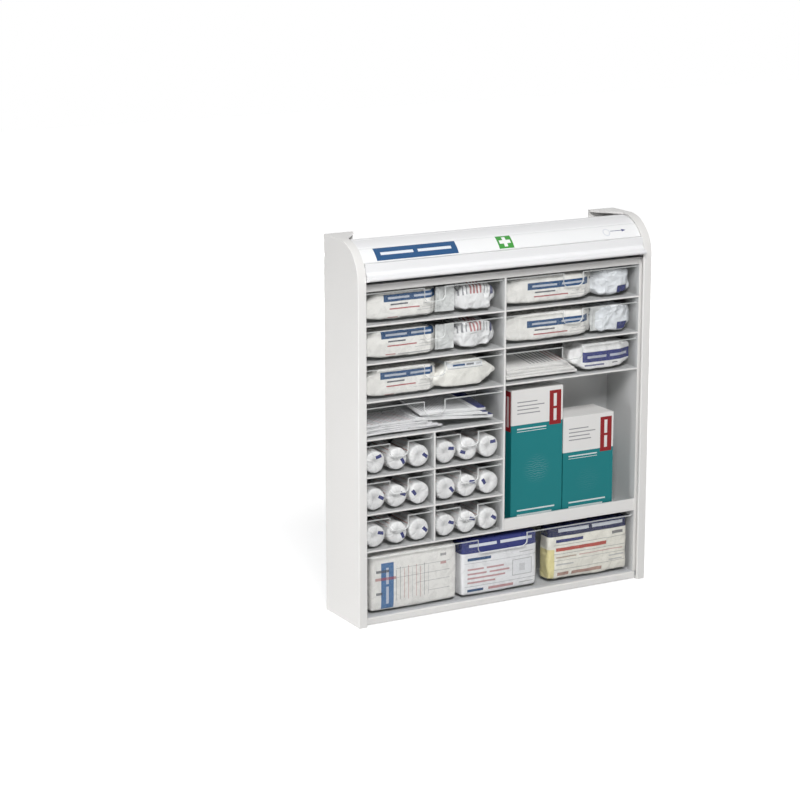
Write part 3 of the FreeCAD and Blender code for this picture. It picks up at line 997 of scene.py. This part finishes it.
def pillow(name, low, high, left, right, taper):
    """A block with both ends drawn in over a share of its length.

    Left and right give each seam's share of depth and height, and its level.
    """
    piece = block(name, low, high)
    for share in (taper, 0.5, 1 - taper):
        slit(piece, everything, (low.x + (high.x - low.x) * share, 0, 0), (1, 0, 0))
    for end, (deep, tall, level) in ((-1, left), (1, right)):
        pick(piece, "FACE", lambda face: face.normal.x * end > 0.9)
        seam = Vector((low.x if end < 0 else high.x, low.y * (1 - seam_depth) + high.y * seam_depth,
                       low.z + (high.z - low.z) * level))
        bpy.ops.transform.resize(value=(1, deep, tall), center_override=seam)
        done()
    return piece


def swell(pieces, pressure, voxel, cap):
    """Blow up pieces by cloth pressure, with a cap on how far a point may move."""
    for piece in pieces:
        apply(piece, "REMESH", mode="VOXEL", voxel_size=voxel)
    scene = bpy.context.scene
    scene.frame_set(1)
    for piece in pieces:
        cloth = piece.modifiers.new("Cloth", "CLOTH")
        cloth.settings.use_pressure = True
        cloth.settings.uniform_pressure_force = pressure
        cloth.settings.effector_weights.gravity = 0
        cloth.settings.tension_stiffness = 12
        cloth.settings.bending_stiffness = 0.3
        cloth.settings.shrink_min = -0.06
        cloth.point_cache.frame_start = 1
        cloth.point_cache.frame_end = swell_frames
    for step in range(1, swell_frames + 1):
        scene.frame_set(step)
    for piece in pieces:
        before = [vertex.co.copy() for vertex in piece.data.vertices]
        activate(piece)
        bpy.ops.object.modifier_apply(modifier="Cloth")
        for vertex, start in zip(piece.data.vertices, before):
            move = vertex.co - start
            if move.length > cap:
                vertex.co = start + move * (cap / move.length)
    scene.frame_set(1)


print("swelling ready")

# %% Folding and fitting
def folds(kind, size):
    texture = bpy.data.textures.new("folds", kind)
    texture.noise_scale = size
    return texture


broad_folds = folds("CLOUDS", 20 * mm)
sharp_folds = folds("VORONOI", 12 * mm)


def press(piece, texture, depth, level=0.5, direction="NORMAL"):
    """Move a piece's points by a texture."""
    return apply(piece, "DISPLACE", texture=texture, texture_coords="LOCAL", strength=depth, mid_level=level,
                 direction=direction)


def crease(piece, broad, sharp):
    """Press folds into a swollen piece."""
    apply(piece, "SUBSURF", levels=1, render_levels=1)
    press(piece, broad_folds, broad)
    apply(piece, "SUBSURF", levels=1, render_levels=1)
    return press(piece, sharp_folds, sharp, 0.4)


def divide(piece, cuts):
    """Split every face evenly, so that a texture can bend it."""
    pick(piece, "FACE", everything)
    bpy.ops.mesh.subdivide(number_cuts=cuts)
    done()


def fit(piece, low, high):
    """Bring a piece's box to a given box."""
    places = [vertex.co for vertex in piece.data.vertices]
    was_low = [min(place[i] for place in places) for i in range(3)]
    was_high = [max(place[i] for place in places) for i in range(3)]
    scale = [(high[i] - low[i]) / (was_high[i] - was_low[i]) for i in range(3)]
    for vertex in piece.data.vertices:
        vertex.co = [low[i] + (vertex.co[i] - was_low[i]) * scale[i] for i in range(3)]
    return piece


print("soft bench ready")

# %% [markdown]
# ## Printed film
# Film bags are white or clear plastic with print on it. The print could be a picture, but here it is a list
# of plain bars in millimetres on the piece's own map: they stay sharp from near, and follow the folds.
# Crumpled film shines at every fold, so a distorted noise goes into the bump and also into the roughness, and
# its hollows darken the colour as painted shade in the creases.

# %% Inks and the film under them
band_blue = (0.026, 0.075, 0.18)
navy = (0.022, 0.03, 0.16)
ink = (0.05, 0.055, 0.075)
red = (0.36, 0.03, 0.03)
grey = (0.42, 0.42, 0.43)
pale = (0.72, 0.75, 0.80)


def printed(name, tint, bars, roughness=0.3, fold=1.2 * mm, see_through=1.0):
    """A film or paper finish with bars of print; a see-through film is clearer between its creases."""
    finish = Finish(name, specular_ior_level=0.35)
    across, up = [wire / mm for wire in finish.chart()]
    crinkle = finish.grain(80.0, 5.0, (1, 1, 1), 1.4)
    crease_lines = finish.node("ShaderNodeTexVoronoi", {"feature": "DISTANCE_TO_EDGE"}, {
        "Vector": finish.place(), "Scale": 55.0}).smooth(0.0, 0.09)
    # Painted shade: the colour is darker in the hollows of the crinkle noise, where the creases lie.
    colour = finish.mix(crinkle.smooth(0.3, 0.62), [c * 0.92 for c in tint], tint)
    colour = finish.bars(colour, across, up, bars)
    finish.set(base_color=colour, roughness=roughness - 0.12 + 0.24 * crinkle)
    if see_through < 1:
        finish.set(alpha=see_through - 0.15 + 0.4 * crinkle)
    return finish.bump(crinkle * 0.9 + crease_lines * 0.1, fold, strength=0.7).material


def row(foot, top, shade, strength, *spans):
    """Bars on one line, each from a left to a right end."""
    return [(left, right, foot, top, shade, strength) for left, right in spans]


def uprights(count, first, pitch, width, foot, top, shade, strength):
    """Upright bars side by side."""
    return [(first + pitch * i, first + pitch * i + width, foot, top, shade, strength) for i in range(count)]


print("inks ready")

# %% Pouch films
dressing_bars = [(14.5, 87, 22.5, 30.8, band_blue), *row(25.4, 27.8, pale, 0.62, (20, 48), (54, 81)),
                 (23, 46, 18.2, 20.0, ink, 0.9), (22, 61, 13.2, 14.8, red, 0.85),
                 *row(16.6, 17.4, grey, 0.8, (66, 75), (77, 84)), (64, 86, 12.6, 13.2, grey, 0.7),
                 (58, 86, 9.6, 10.2, grey, 0.7), (20, 33, 3.4, 4.8, red, 0.7), (36, 84, 3.2, 4.2, ink, 0.6),
                 (91, 93, 27, 29, ink)]
crumpled_bars = [(3 + 4.2 * i, 4.6 + 4.2 * i, 18 + i, 31, ink, 0.65) for i in range(4)]
crumpled_bars += uprights(4, 21, 4.4, 2.4, 21, 33, red, 0.75)
crumpled_bars += [(40, 41.4, 20, 31, ink, 0.6), (44, 45.2, 20, 30, ink, 0.5), (49, 54, 18, 29, navy, 0.85)]
cream_bars = [(20, 66, 24.5, 29.5, (0.78, 0.80, 0.82)), (26, 42, 26.0, 28.4, band_blue),
              (44, 54, 26.0, 28.2, ink, 0.8), (20, 66, 23.0, 23.7, band_blue, 0.6),
              (57, 64, 26.2, 28.0, grey, 0.8)]
corner_bars = [(15, 90, 10.5, 23, navy), *row(15.2, 18.2, pale, 0.6, (20, 47), (52, 80)),
               (17, 44, 5.6, 7.6, navy, 0.85), (56, 64, 6.6, 8.0, ink, 0.8)]
dressing_film = printed("dressing_film", (0.85, 0.84, 0.805), dressing_bars, roughness=0.28, fold=1.4 * mm)
crumpled_film = printed("crumpled_film", (0.82, 0.825, 0.83), crumpled_bars, roughness=0.2, fold=5 * mm)
cream_film = printed("cream_film", (0.85, 0.84, 0.79), cream_bars, roughness=0.24, fold=2 * mm)
clear_wrap = printed("clear_wrap", (0.79, 0.82, 0.85), [(34, 50, 3, 12, navy)], roughness=0.15, fold=6 * mm)
corner_film = printed("corner_film", (0.85, 0.85, 0.845), corner_bars, roughness=0.24, fold=3 * mm)
tail_film = printed("tail_film", (0.84, 0.86, 0.85), [(3, 4, 4, 28, grey, 0.4)], roughness=0.12, fold=4 * mm,
                    see_through=0.72)
print("pouch films: 6")

# %% [markdown]
# ## Dressing pouches
# Five wide trays hold a long pouch and a short one, and a sixth holds one beside its sachets. Their depth
# and height come from the construction, and each kind has its own width, film and seams. A flat clear tail
# of film stands at the right end of some long pouches, between the two.

# %% Kinds of pouches
# Start and end across the tray, film, both seams, the share that is drawn in, and the depth of the folds.
Pouch = namedtuple("Pouch", "start end film left right taper depth")
left_long = Pouch(-183.6, -83, dressing_film, (0.6, 0.6, 0.15), (0.12, 0.94, 0.5), taper=0.15, depth=1.6)
left_short = Pouch(-66, -5.5, crumpled_film, (0.2, 0.45, 0.3), (0.5, 0.4, 0.55), taper=0.22, depth=5.0)
left_cream = Pouch(-94, -5.5, cream_film, (0.5, 0.1, 0.12), (0.6, 0.12, 0.45), taper=0.3, depth=1.6)
right_long = Pouch(5.6, 131, dressing_film, (0.6, 0.8, 0.3), (0.12, 0.9, 0.5), taper=0.15, depth=1.6)
right_short = Pouch(126, 185, clear_wrap, (0.3, 0.6, 0.5), (0.4, 0.75, 0.6), taper=0.22, depth=5.0)
right_corner = Pouch(99, 185, corner_film, (0.3, 0.45, 0.6), (0.5, 0.7, 0.6), taper=0.22, depth=1.6)

# Tray, size, kind, and how far the print is moved right and down, and stretched.
unmoved = (0, 0, 1.0)
pouch_plans = [
    ("left_1", "long", left_long, (9.5, 0.5, 1.0)), ("left_1", "short", left_short, unmoved),
    ("left_2", "long", left_long, (6.5, -1.0, 1.0)), ("left_2", "short", left_short, unmoved),
    ("left_3", "long", left_long, (5.0, 1.5, 1.0)), ("left_3", "short", left_cream, unmoved),
    ("right_1", "long", right_long, (10.0, 4.8, 1.21)), ("right_1", "short", right_short, unmoved),
    ("right_2", "long", right_long, (10.0, 5.6, 1.21)), ("right_2", "short", right_short, unmoved),
    ("right_3", "short", right_corner, unmoved)]
print("pouches planned:", len(pouch_plans))

# %% Dressing pouches
room = 0.4 * mm
forward = 1.2 * mm
floor_gap = 0.1 * mm
swell_low = Vector((2, 2, 1.5)) * mm
swell_high = Vector((2, 2, 2)) * mm
swell_cap = 1.8 * mm
soft_angle = 70


def pouch_node(place):
    return "pouch_right_3" if place == "right_3" else "pouches_" + place


def pouch_box(place, x0, x1):
    """The corners of a pouch: its own width, and its node's depth and height."""
    low, high = corners(pouch_node(place))
    return Vector((x0 * mm, low.y, low.z)), Vector((x1 * mm, high.y, high.z))


pouches = []
for place, size, kind, _ in pouch_plans:
    low, high = pouch_box(place, kind.start, kind.end)
    name = "pouch_%s_%s" % (place, size)
    pouches.append(pillow(name, low + swell_low, high - swell_high, kind.left, kind.right, kind.taper))
swell(pouches, pressure=1.0, voxel=3.2 * mm, cap=swell_cap)
for pouch, (place, _, kind, (moved_right, moved_down, stretch)) in zip(pouches, pouch_plans):
    low, high = pouch_box(place, kind.start, kind.end)
    crease(pouch, broad=kind.depth * mm, sharp=kind.depth * 0.6 * mm)
    fit(pouch, low + Vector((0, -forward, floor_gap)), high - Vector((0, room, room)))
    chart_front(pouch, low.x + moved_right * mm, low.z - moved_down * mm, stretch)
    settle(pouch, "drawer_" + place, kind.film, "pouch_film", pouch_node(place), angle=soft_angle)
print("pouches:", len(pouches))

# %% Clear tails of film
tail_front = 5 * mm
tail_thick = 0.6 * mm
tail_foot = 3 * mm
tail_top = 1.5 * mm
tail_plans = [("left_1", -89, -64), ("left_2", -89, -64), ("right_2", 126, 146)]
for place, x0, x1 in tail_plans:
    low, high = pouch_box(place, x0, x1)
    tail = block("tail_" + place, (low.x, low.y + tail_front, low.z + tail_foot),
                 (high.x, low.y + tail_front + tail_thick, high.z - tail_top))
    divide(tail, 14)
    press(tail, broad_folds, 5 * mm, direction="Y")
    chart_front(tail, low.x, low.z)
    settle(tail, "drawer_" + place, tail_film, "pouch_film", pouch_node(place), angle=soft_angle)
print("tails:", len(tail_plans))

# %% [markdown]
# ## Flat sachets
# Two trays hold flat sachets: folded compresses in paper and film, lying on each other with their ends
# uneven. Each is a thin slab, subdivided and lifted by one broad noise, so that neighbours lie along each
# other. A slab could be a sheet with no thickness, but a sachet has a body, and its edge is what shows from
# the front.

# %% Sachet papers
paper_bars = [(38 + 5.2 * i, 39.4 + 5.2 * i, 10, 52, red if i > 6 else ink, 0.85) for i in range(10)]
line_shades = ((0.4, 0.16, 0.18), (0.28, 0.25, 0.28), (0.28, 0.25, 0.28))
sachet_bars = [(10 + 4.1 * i, 11.4 + 4.1 * i, 4, 46, line_shades[i % 3], 0.7) for i in range(15)]
fold_bars = uprights(19, 6, 3.6, 1.2, 5, 48, ink, 0.8) + [(80, 120, -9, 70, navy)]
paper_white = printed("paper_white", (0.86, 0.85, 0.83), paper_bars, roughness=0.5, fold=0.8 * mm)
sachet_film = printed("sachet_film", (0.82, 0.82, 0.83), sachet_bars, roughness=0.3, fold=3 * mm)
fold_paper = printed("fold_paper", (0.85, 0.855, 0.86), fold_bars, roughness=0.45, fold=1.5 * mm)
print("sachet papers: 3")

# %% Sachets
lie_folds = folds("CLOUDS", 60 * mm)
sachet_front = 1.5 * mm
sachet_back = 3 * mm


def slab(name, low, high, turn, lift, tilt, pitch):
    """A thin sachet: turned, tilted to the side and raised at the back, and bent by the broad folds."""
    piece = block(name, low, high)
    divide(piece, 9)
    soften(piece, (high.z - low.z) * 0.3, 2, 60)
    pivot = Matrix.Translation(((low.x + high.x) / 2, low.y, low.z))
    lean = Matrix.Rotation(math.radians(pitch), 4, "X") @ Matrix.Rotation(math.radians(tilt), 4, "Y")
    piece.data.transform(pivot @ Matrix.Rotation(math.radians(turn), 4, "Z") @ lean @ pivot.inverted())
    return press(piece, lie_folds, lift * mm, direction="Z")


def chart_top(piece, x, y, lean):
    """A map of the top in metres, leaning to the right with depth."""
    return chart(piece, lambda point: (point.x - x + lean * (point.y - y), point.y - y),
                 lambda normal: normal.z > 0.4)


def laid(name, body, node, plans, finish, lean):
    """Sachets joined to one piece, each (start, end, foot, thickness, turn, lift, tilt, pitch)."""
    node_low, node_high = corners(node)
    slabs = []
    for x0, x1, foot, thick, *shape in plans:
        low = Vector((x0 * mm, node_low.y + sachet_front, node_low.z + foot * mm))
        high = Vector((x1 * mm, node_high.y - sachet_back, low.z + thick * mm))
        slabs.append(chart_top(slab(name, low, high, *shape), low.x, node_low.y, lean))
    piece = joined(name, slabs)
    settle(piece, body, finish, "sachet_paper", node, angle=50)


low_stack = [(-182, -80 - 7.0 * i, 1.3 + 2.4 * i, 2.0, (-1) ** i * 1.4, 2.6, 0.0, 0.5 * i) for i in range(5)]
high_stack = [(-118, -11, 7.4, 3.6, 1.5, 1.6, 4.6, 3.0), (-107, -20, 11.6, 3.0, -2.5, 2.0, 4.0, 6.0),
              (-112, -21, 15.2, 3.4, 2.5, 2.4, 3.0, 10.0)]
right_stack = [(6.5, 106 - 4.6 * i, 1.2 + 3.3 * i, 2.9, (-1) ** i * 0.8, 1.4, 0.0, 2.4 * i) for i in range(4)]
laid("sachets_flat_left", "drawer_left_4", "sachets_left", low_stack, sachet_film, lean=0.2)
laid("sachets_folded_left", "drawer_left_4", "sachets_left", high_stack, fold_paper, lean=0.2)
laid("sachets_right_stack", "drawer_right_3", "sachets_right", right_stack, paper_white, lean=0.0)
print("sachets:", len(low_stack) + len(high_stack) + len(right_stack))

# %% [markdown]
# ## Bandage rolls
# Eighteen gauze bandages lie in the small trays with their ends to the front. Each is wound gauze in clear
# film that is gathered at the end, so folds run from the middle outwards and on along the roll. One roll is
# modelled with a rounded, slightly dished end, and each copy is turned about its own axis, so the small
# blue print lies at another place.

# %% Gauze in film
end_y = -19 * mm


def gauze_in_film(name):
    """Pleats run out from the middle of the end, which has a blue mark; red lines run along the roll."""
    finish = Finish(name, specular_ior_level=0.35)
    across, up = finish.chart()
    from_middle = (across ** 2 + up ** 2) ** 0.5
    bearing = finish.node("ShaderNodeCombineXYZ", {}, {
        0: across / (from_middle + 0.02), 1: up / (from_middle + 0.02)})
    pleats = finish.node("ShaderNodeTexNoise", {}, {
        "Vector": bearing, "Scale": 6.0, "Detail": 4.0, "Distortion": 0.4})
    weave = finish.grain(900.0, 2.0)
    # Painted shade: the film is darker in the hollows of the pleats.
    colour = finish.mix(pleats.smooth(0.3, 0.65), (0.76, 0.765, 0.77), (0.88, 0.88, 0.875))
    colour = finish.bars(colour, across, up, [(0.14, 0.70, 0.21, 0.51, navy)], from_middle < 0.94)
    _, deep, _ = finish.axes(finish.place())
    lines = pleats.inside(0.60, 0.66) * (deep > end_y)
    colour = finish.mix(lines * 0.7, colour, (0.40, 0.13, 0.10))
    finish.set(base_color=colour, roughness=0.28 + 0.25 * weave)
    return finish.bump(pleats + weave * 0.08, 3 * mm, strength=0.55).material


gauze = gauze_in_film("gauze_film")
print("gauze")

# %% One roll
roll_radius = 13.3 * mm
roll_length = 51.4 * mm
roll_round = 3.0 * mm
dish_steps = ((2.2, -0.5), (2.2, 0.4), (2.2, 0.5), (1.6, 0.6))
ring_places = (-15 * mm, -5 * mm, 5 * mm, 15 * mm)
roll = cylinder("roll", 40, roll_radius, roll_length, along="Y")
round_edges(roll, lambda edge: abs(edge.verts[0].co.y - edge.verts[1].co.y) < near, roll_round, 4)
for end in sides:
    pick(roll, "FACE", lambda face: face.normal.y * end > 0.99)
    for width, push in dish_steps:
        inset(width * mm, (0, -end * push * mm, 0))
    done()
for y in ring_places:
    slit(roll, lambda face: abs(face.normal.y) < 0.1, (0, y, 0), (0, 1, 0))
apply(roll, "SUBSURF", levels=1, render_levels=1)
press(roll, folds("CLOUDS", 9 * mm), 1.6 * mm, 0.7)
print("roll:", len(roll.data.polygons), "faces")

# %% Rolls in their trays
roll_room = 13.48 * mm
roll_middle = 25.9 * mm
roll_pitch = 29.15 * mm
rolls_in_tray = 3
turns = [-18, 64, 40, 8, 200, -6, 30, 25, 232, 52, 6, 238, 12, 68, 44, 20, 14, 34]
for tray in range(1, 7):
    low, _ = corners("rolls_%d" % tray)
    made = []
    for i in range(rolls_in_tray):
        centre = low + Vector((roll_room + roll_pitch * i, roll_middle - forward, roll_room))
        turn = Matrix.Rotation(math.radians(turns[(tray - 1) * rolls_in_tray + i]), 4, "Y")
        twin = copied(roll, "roll")
        chart(twin, lambda point: (point.x / roll_radius, point.z / roll_radius), everything)
        twin.data.transform(Matrix.Translation(centre) @ turn)
        made.append(twin)
    rolls = joined("bandage_rolls_%d" % tray, made)
    settle(rolls, "drawer_small_%d" % tray, gauze, "gauze", "rolls_%d" % tray, angle=soft_angle)
bpy.data.objects.remove(roll)
print("rolls:", len(turns))

# %% [markdown]
# ## Packs in the base tray
# Three flat packs stand in the base tray: a bandage pack in milky film, a crisp pack with a dark top, and a
# folded blanket in shiny film. They swell like the pouches, only less, and their print is bars again.

# %% Pack films
bandage_bars = [(13.5, 30, 3.2, 59, (0.07, 0.17, 0.36)), (20, 23.4, 9, 30, pale, 0.7),
                (20, 23.4, 33, 53, pale, 0.7)]
for i, shade in enumerate((ink, ink, red, red, grey, red, red, ink, grey)):
    bandage_bars.append((33 + 5.4 * i, 33.8 + 5.4 * i, 11 + i % 3, 49 + 3 * (i % 2), shade, 0.55))
for level, start in ((17, 76), (29, 60), (39, 33), (50, 33)):
    bandage_bars.append((start, 106, level, level + 0.6, ink, 0.5))
bandage_bars += [(7, 24, 47.4, 50.6, ink, 0.8), (6, 33, 38, 41.4, red, 0.6), (7, 15, 20.4, 23.6, ink, 0.8),
                 (93, 101, 57, 60, ink, 0.6), (93, 101, 47, 50, red, 0.6)]

triangle_bars = [(-2, 120, 53, 75, navy), *row(60.4, 64, pale, 0.9, (10, 48), (53, 98)),
                 (8, 40, 43.6, 47.2, band_blue), *row(31.8, 34, red, 0.65, (8, 30), (34, 58)),
                 *row(26.2, 28.4, red, 0.65, (8, 34), (38, 66)),
                 (8, 60, 20.8, 23, red, 0.65), (8, 46, 15.4, 17.6, red, 0.65), (4, 104, 11.6, 12.2, ink, 0.5),
                 (4, 104, 40.4, 41, ink, 0.4), (8, 30, 5, 8.4, band_blue), (37, 72, 5, 8.4, red, 0.7),
                 (80, 100, 6.6, 7.8, grey), (70, 98, 17, 37, grey),
                 (70.8, 97.2, 17.8, 36.2, (0.80, 0.81, 0.83)), (80, 88, 22, 31, grey, 0.5),
                 (80, 100, 45, 46.2, grey, 0.8)]

rust = (0.34, 0.14, 0.1)
blanket_bars = [(-2, 130, 56, 75, (0.012, 0.016, 0.07)), *row(61, 65, pale, 0.9, (14, 58), (63, 108)),
                (-2, 9, -2, 40, (0.72, 0.62, 0.16), 0.7), (11, 50, 48, 52, navy),
                (92, 108, 48.6, 52.4, ink, 0.8), (11, 84, 37, 41.4, (0.45, 0.04, 0.02), 0.95),
                (8, 112, 44.6, 45.2, ink, 0.6),
                (8, 112, 33.4, 34, ink, 0.6), (11, 40, 28.6, 30.2, (0.3, 0.18, 0.1), 0.7),
                (44, 108, 29, 30.4, red, 0.5), (8, 112, 25, 25.6, ink, 0.5), (11, 36, 19.4, 21.2, grey, 0.8),
                (88, 110, 20.6, 22.2, grey, 0.8), (88, 108, 15.2, 16.8, grey, 0.8),
                (8, 112, 13.6, 14.2, ink, 0.6), *row(5.6, 10, rust, 0.8, (14, 30), (34, 78))]

bandage_film = printed("bandage_film", (0.85, 0.84, 0.81), bandage_bars, roughness=0.28, fold=0.5 * mm)
triangle_film = printed("triangle_film", (0.86, 0.865, 0.88), triangle_bars, roughness=0.3, fold=0.8 * mm)
blanket_film = printed("blanket_film", (0.85, 0.83, 0.75), blanket_bars, roughness=0.18, fold=2.2 * mm)
print("bars of print:", len(bandage_bars), len(triangle_bars), len(blanket_bars))

# %% Packs
pack_gap = 0.2 * mm
pack_plans = [("bandage_pack", bandage_film, 0.5, 1.0), ("triangle_pack", triangle_film, 0.6, 1.0),
              ("blanket_pack", blanket_film, 2.6, 1.6)]
packs = []
for node, film, depth, edge_round in pack_plans:
    low, high = corners(node)
    packs.append(soften(block(node + "_film", low + swell_low, high - swell_high), edge_round * mm, 3))
swell(packs, pressure=0.8, voxel=3.4 * mm, cap=swell_cap)
for pack, (node, film, depth, edge_round) in zip(packs, pack_plans):
    low, high = corners(node)
    crease(pack, broad=depth * mm, sharp=depth * 0.5 * mm)
    fit(pack, low + Vector((pack_gap, -forward, floor_gap)), high - Vector((pack_gap, pack_gap, pack_gap)))
    chart_front(pack, low.x, low.z)
    settle(pack, "drawer_base", film, "pack_film", node, angle=soft_angle)
print("packs:", len(packs))

# %% [markdown]
# ## Cartons
# A tall and a short carton stand in the bay: folded card with a teal body, a white head and a red upright
# band. They are stiff, so each is a block with narrow rounded folds and a tuck flap drawn into the top by
# an inset. The print is placed by Object coordinates, measured from each carton's own corner.

# %% Carton card
teal = (0.008, 0.195, 0.21)
card_white = (0.79, 0.78, 0.765)
card_red = (0.26, 0.013, 0.016)
flank_red = (0.30, 0.014, 0.02)
card_pale = (0.78, 0.82, 0.82)
band_pale = (0.76, 0.74, 0.73)
flank_pale = (0.7, 0.66, 0.66)
skin = 0.6
left_margin = 8
line_lengths = (28, 38, 30, 32)
line_pitch = 4.6
line_half = 0.6


def front_bars(tall, head):
    """Lines on the white head, a title under it and two lines near the foot, in millimetres."""
    bars = []
    for i, length in enumerate(line_lengths):
        level = tall - 15 - line_pitch * i
        bars.append((left_margin, left_margin + length, level - line_half, level + line_half, ink, 0.7))
    bars.append((left_margin, 49, head - 6.0, head - 4.4, card_pale, 0.85))
    bars.append((left_margin, 49, head - 8.75, head - 8.05, card_pale, 0.85))
    return bars + [(9, 62, 18.1, 19.9, card_pale, 0.85), (9, 58, 12.3, 14.1, card_pale, 0.85)]


def carton_card(name, low, high, head, faint):
    """Card whose head is white above a height; faint is the strength of the round pattern on the teal."""
    finish = Finish(name, specular_ior_level=0.25)
    x, y, z = [(wire - start) / mm for wire, start in zip(finish.axes(finish.place()), low)]
    wide, _, tall = (high - low) / mm
    fibre = finish.grain(600.0, 4.0)
    broad = finish.grain(12.0, 3.0)
    tint = finish.mix(broad, [c * 0.93 for c in teal], teal)
    white = finish.mix(broad, [c * 0.97 for c in card_white], card_white)
    front = y < skin
    colour = finish.bars(finish.mix(z > head, tint, white), x, z, front_bars(tall, head), front)
    from_x, from_z = x - wide / 2, z - head * 0.55
    rays = finish.node("ShaderNodeTexWave", {"wave_type": "RINGS"}, {
        "Vector": finish.node("ShaderNodeCombineXYZ", {}, {0: from_x, 1: from_z}), "Scale": 0.12,
        "Distortion": 9.0, "Detail": 3.0}, 1)
    spot = 1 - ((from_x ** 2 + from_z ** 2) ** 0.5).smooth(4, 22)
    colour = finish.mix(front * spot * (rays > 0.72) * faint, colour, (0.5, 0.65, 0.66))
    band = wide - 19.0
    colour = finish.bars(colour, x, z, [
        (band, wide - 2.5, head - 4.5, tall - 5, card_red),
        (band + 5.9, wide - 8.9, head + 0.5, head + 15, band_pale),
        (band + 5.9, wide - 8.9, head + 18, tall - 9, band_pale)], front)
    colour = finish.bars(colour, y, z, [
        (2, 16, head - 8, tall - 1.5, flank_red), (6, 11, head - 3, tall - 8, flank_pale, 0.8)], x < skin)
    finish.set(base_color=colour, roughness=0.34 + 0.14 * fibre)
    return finish.bump(fibre, 0.2 * mm, strength=0.3).material


print("card ready")

# %% Cartons
fold_round = 0.35 * mm


def carton(node, head, faint):
    """A block with its tuck flap sunk into the top."""
    low, high = corners(node)
    piece = block(node + "_box", low, high)
    pick(piece, "FACE", upward)
    inset(1.6 * mm, (0, 0, -0.5 * mm))
    inset(0.4 * mm, (0, 0, 0.35 * mm))
    done()
    soften(piece, fold_round, 2, 30)
    settle(piece, "cabinet", carton_card(node + "_card", low, high, head, faint), "carton_card", node)


carton("carton_tall", head=124.7, faint=0.14)
carton("carton_short", head=82.2, faint=0.03)
print("cartons: 2")

# %% [markdown]
# ## Stage and light
# A plain pale floor and a white surround, lit from the front and above, as in the photograph, with weaker
# lamps low at the left, right and back. The surround is white for the camera, in reflections and through
# clear plastic, and a dim even light for everything else, so that the background is white without more
# light on the cabinet.

# %% Floor and surround
near_floor = 0.66
dim_light = 0.035
deselect()
bpy.ops.mesh.primitive_plane_add(size=9.0, location=(0, 0, 0))
floor = bpy.context.object
floor.name = "floor"
paper = Finish("floor_paper", roughness=0.9, specular_ior_level=0.1, emission_strength=1.0)
side, deep, _ = paper.axes(paper.place())
far = ((side ** 2 + deep ** 2) ** 0.5).smooth(0.4, 1.6)
paper.set(base_color=paper.mix(paper.grain(30.0, 4.0), (0.50, 0.50, 0.50), (0.53, 0.53, 0.53)),
          emission_color=paper.shown() * (near_floor + (1 - near_floor) * far))
floor.data.materials.append(paper.material)

world = bpy.data.worlds.new("surround")
bpy.context.scene.world = world
world.use_nodes = True
surround = Nodes(world.node_tree)
background = world.node_tree.nodes["Background"]
surround.feed(background.inputs["Color"], (1, 1, 1))
surround.feed(background.inputs["Strength"], dim_light + (1 - dim_light) * surround.shown())
print("floor and surround")

# %% Lamps
def lamp(name, place, target, size, watts):
    """A square lamp that looks at a target."""
    deselect()
    bpy.ops.object.light_add(type="AREA", location=place)
    light = bpy.context.object
    light.name = name
    light.data.shape = "SQUARE"
    light.data.size = size
    light.data.energy = watts
    light.rotation_euler = (Vector(target) - Vector(place)).to_track_quat("-Z", "Y").to_euler()


lamp("lamp_front", (-0.8, -1.9, 2.2), (0, 0, 0.25), size=1.1, watts=78)
lamp("lamp_left", (-1.1, -0.15, 0.06), (-0.2, 0, -0.25), size=0.4, watts=6.8)
lamp("lamp_right", (1.7, 0.3, 0.25), (0.2, 0, 0.15), size=0.4, watts=14)
lamp("lamp_back", (0.3, 1.9, 0.25), (0, 0, 0.15), size=0.4, watts=22)
bpy.context.scene.view_settings.view_transform = "Standard"
print("lamps: 4")
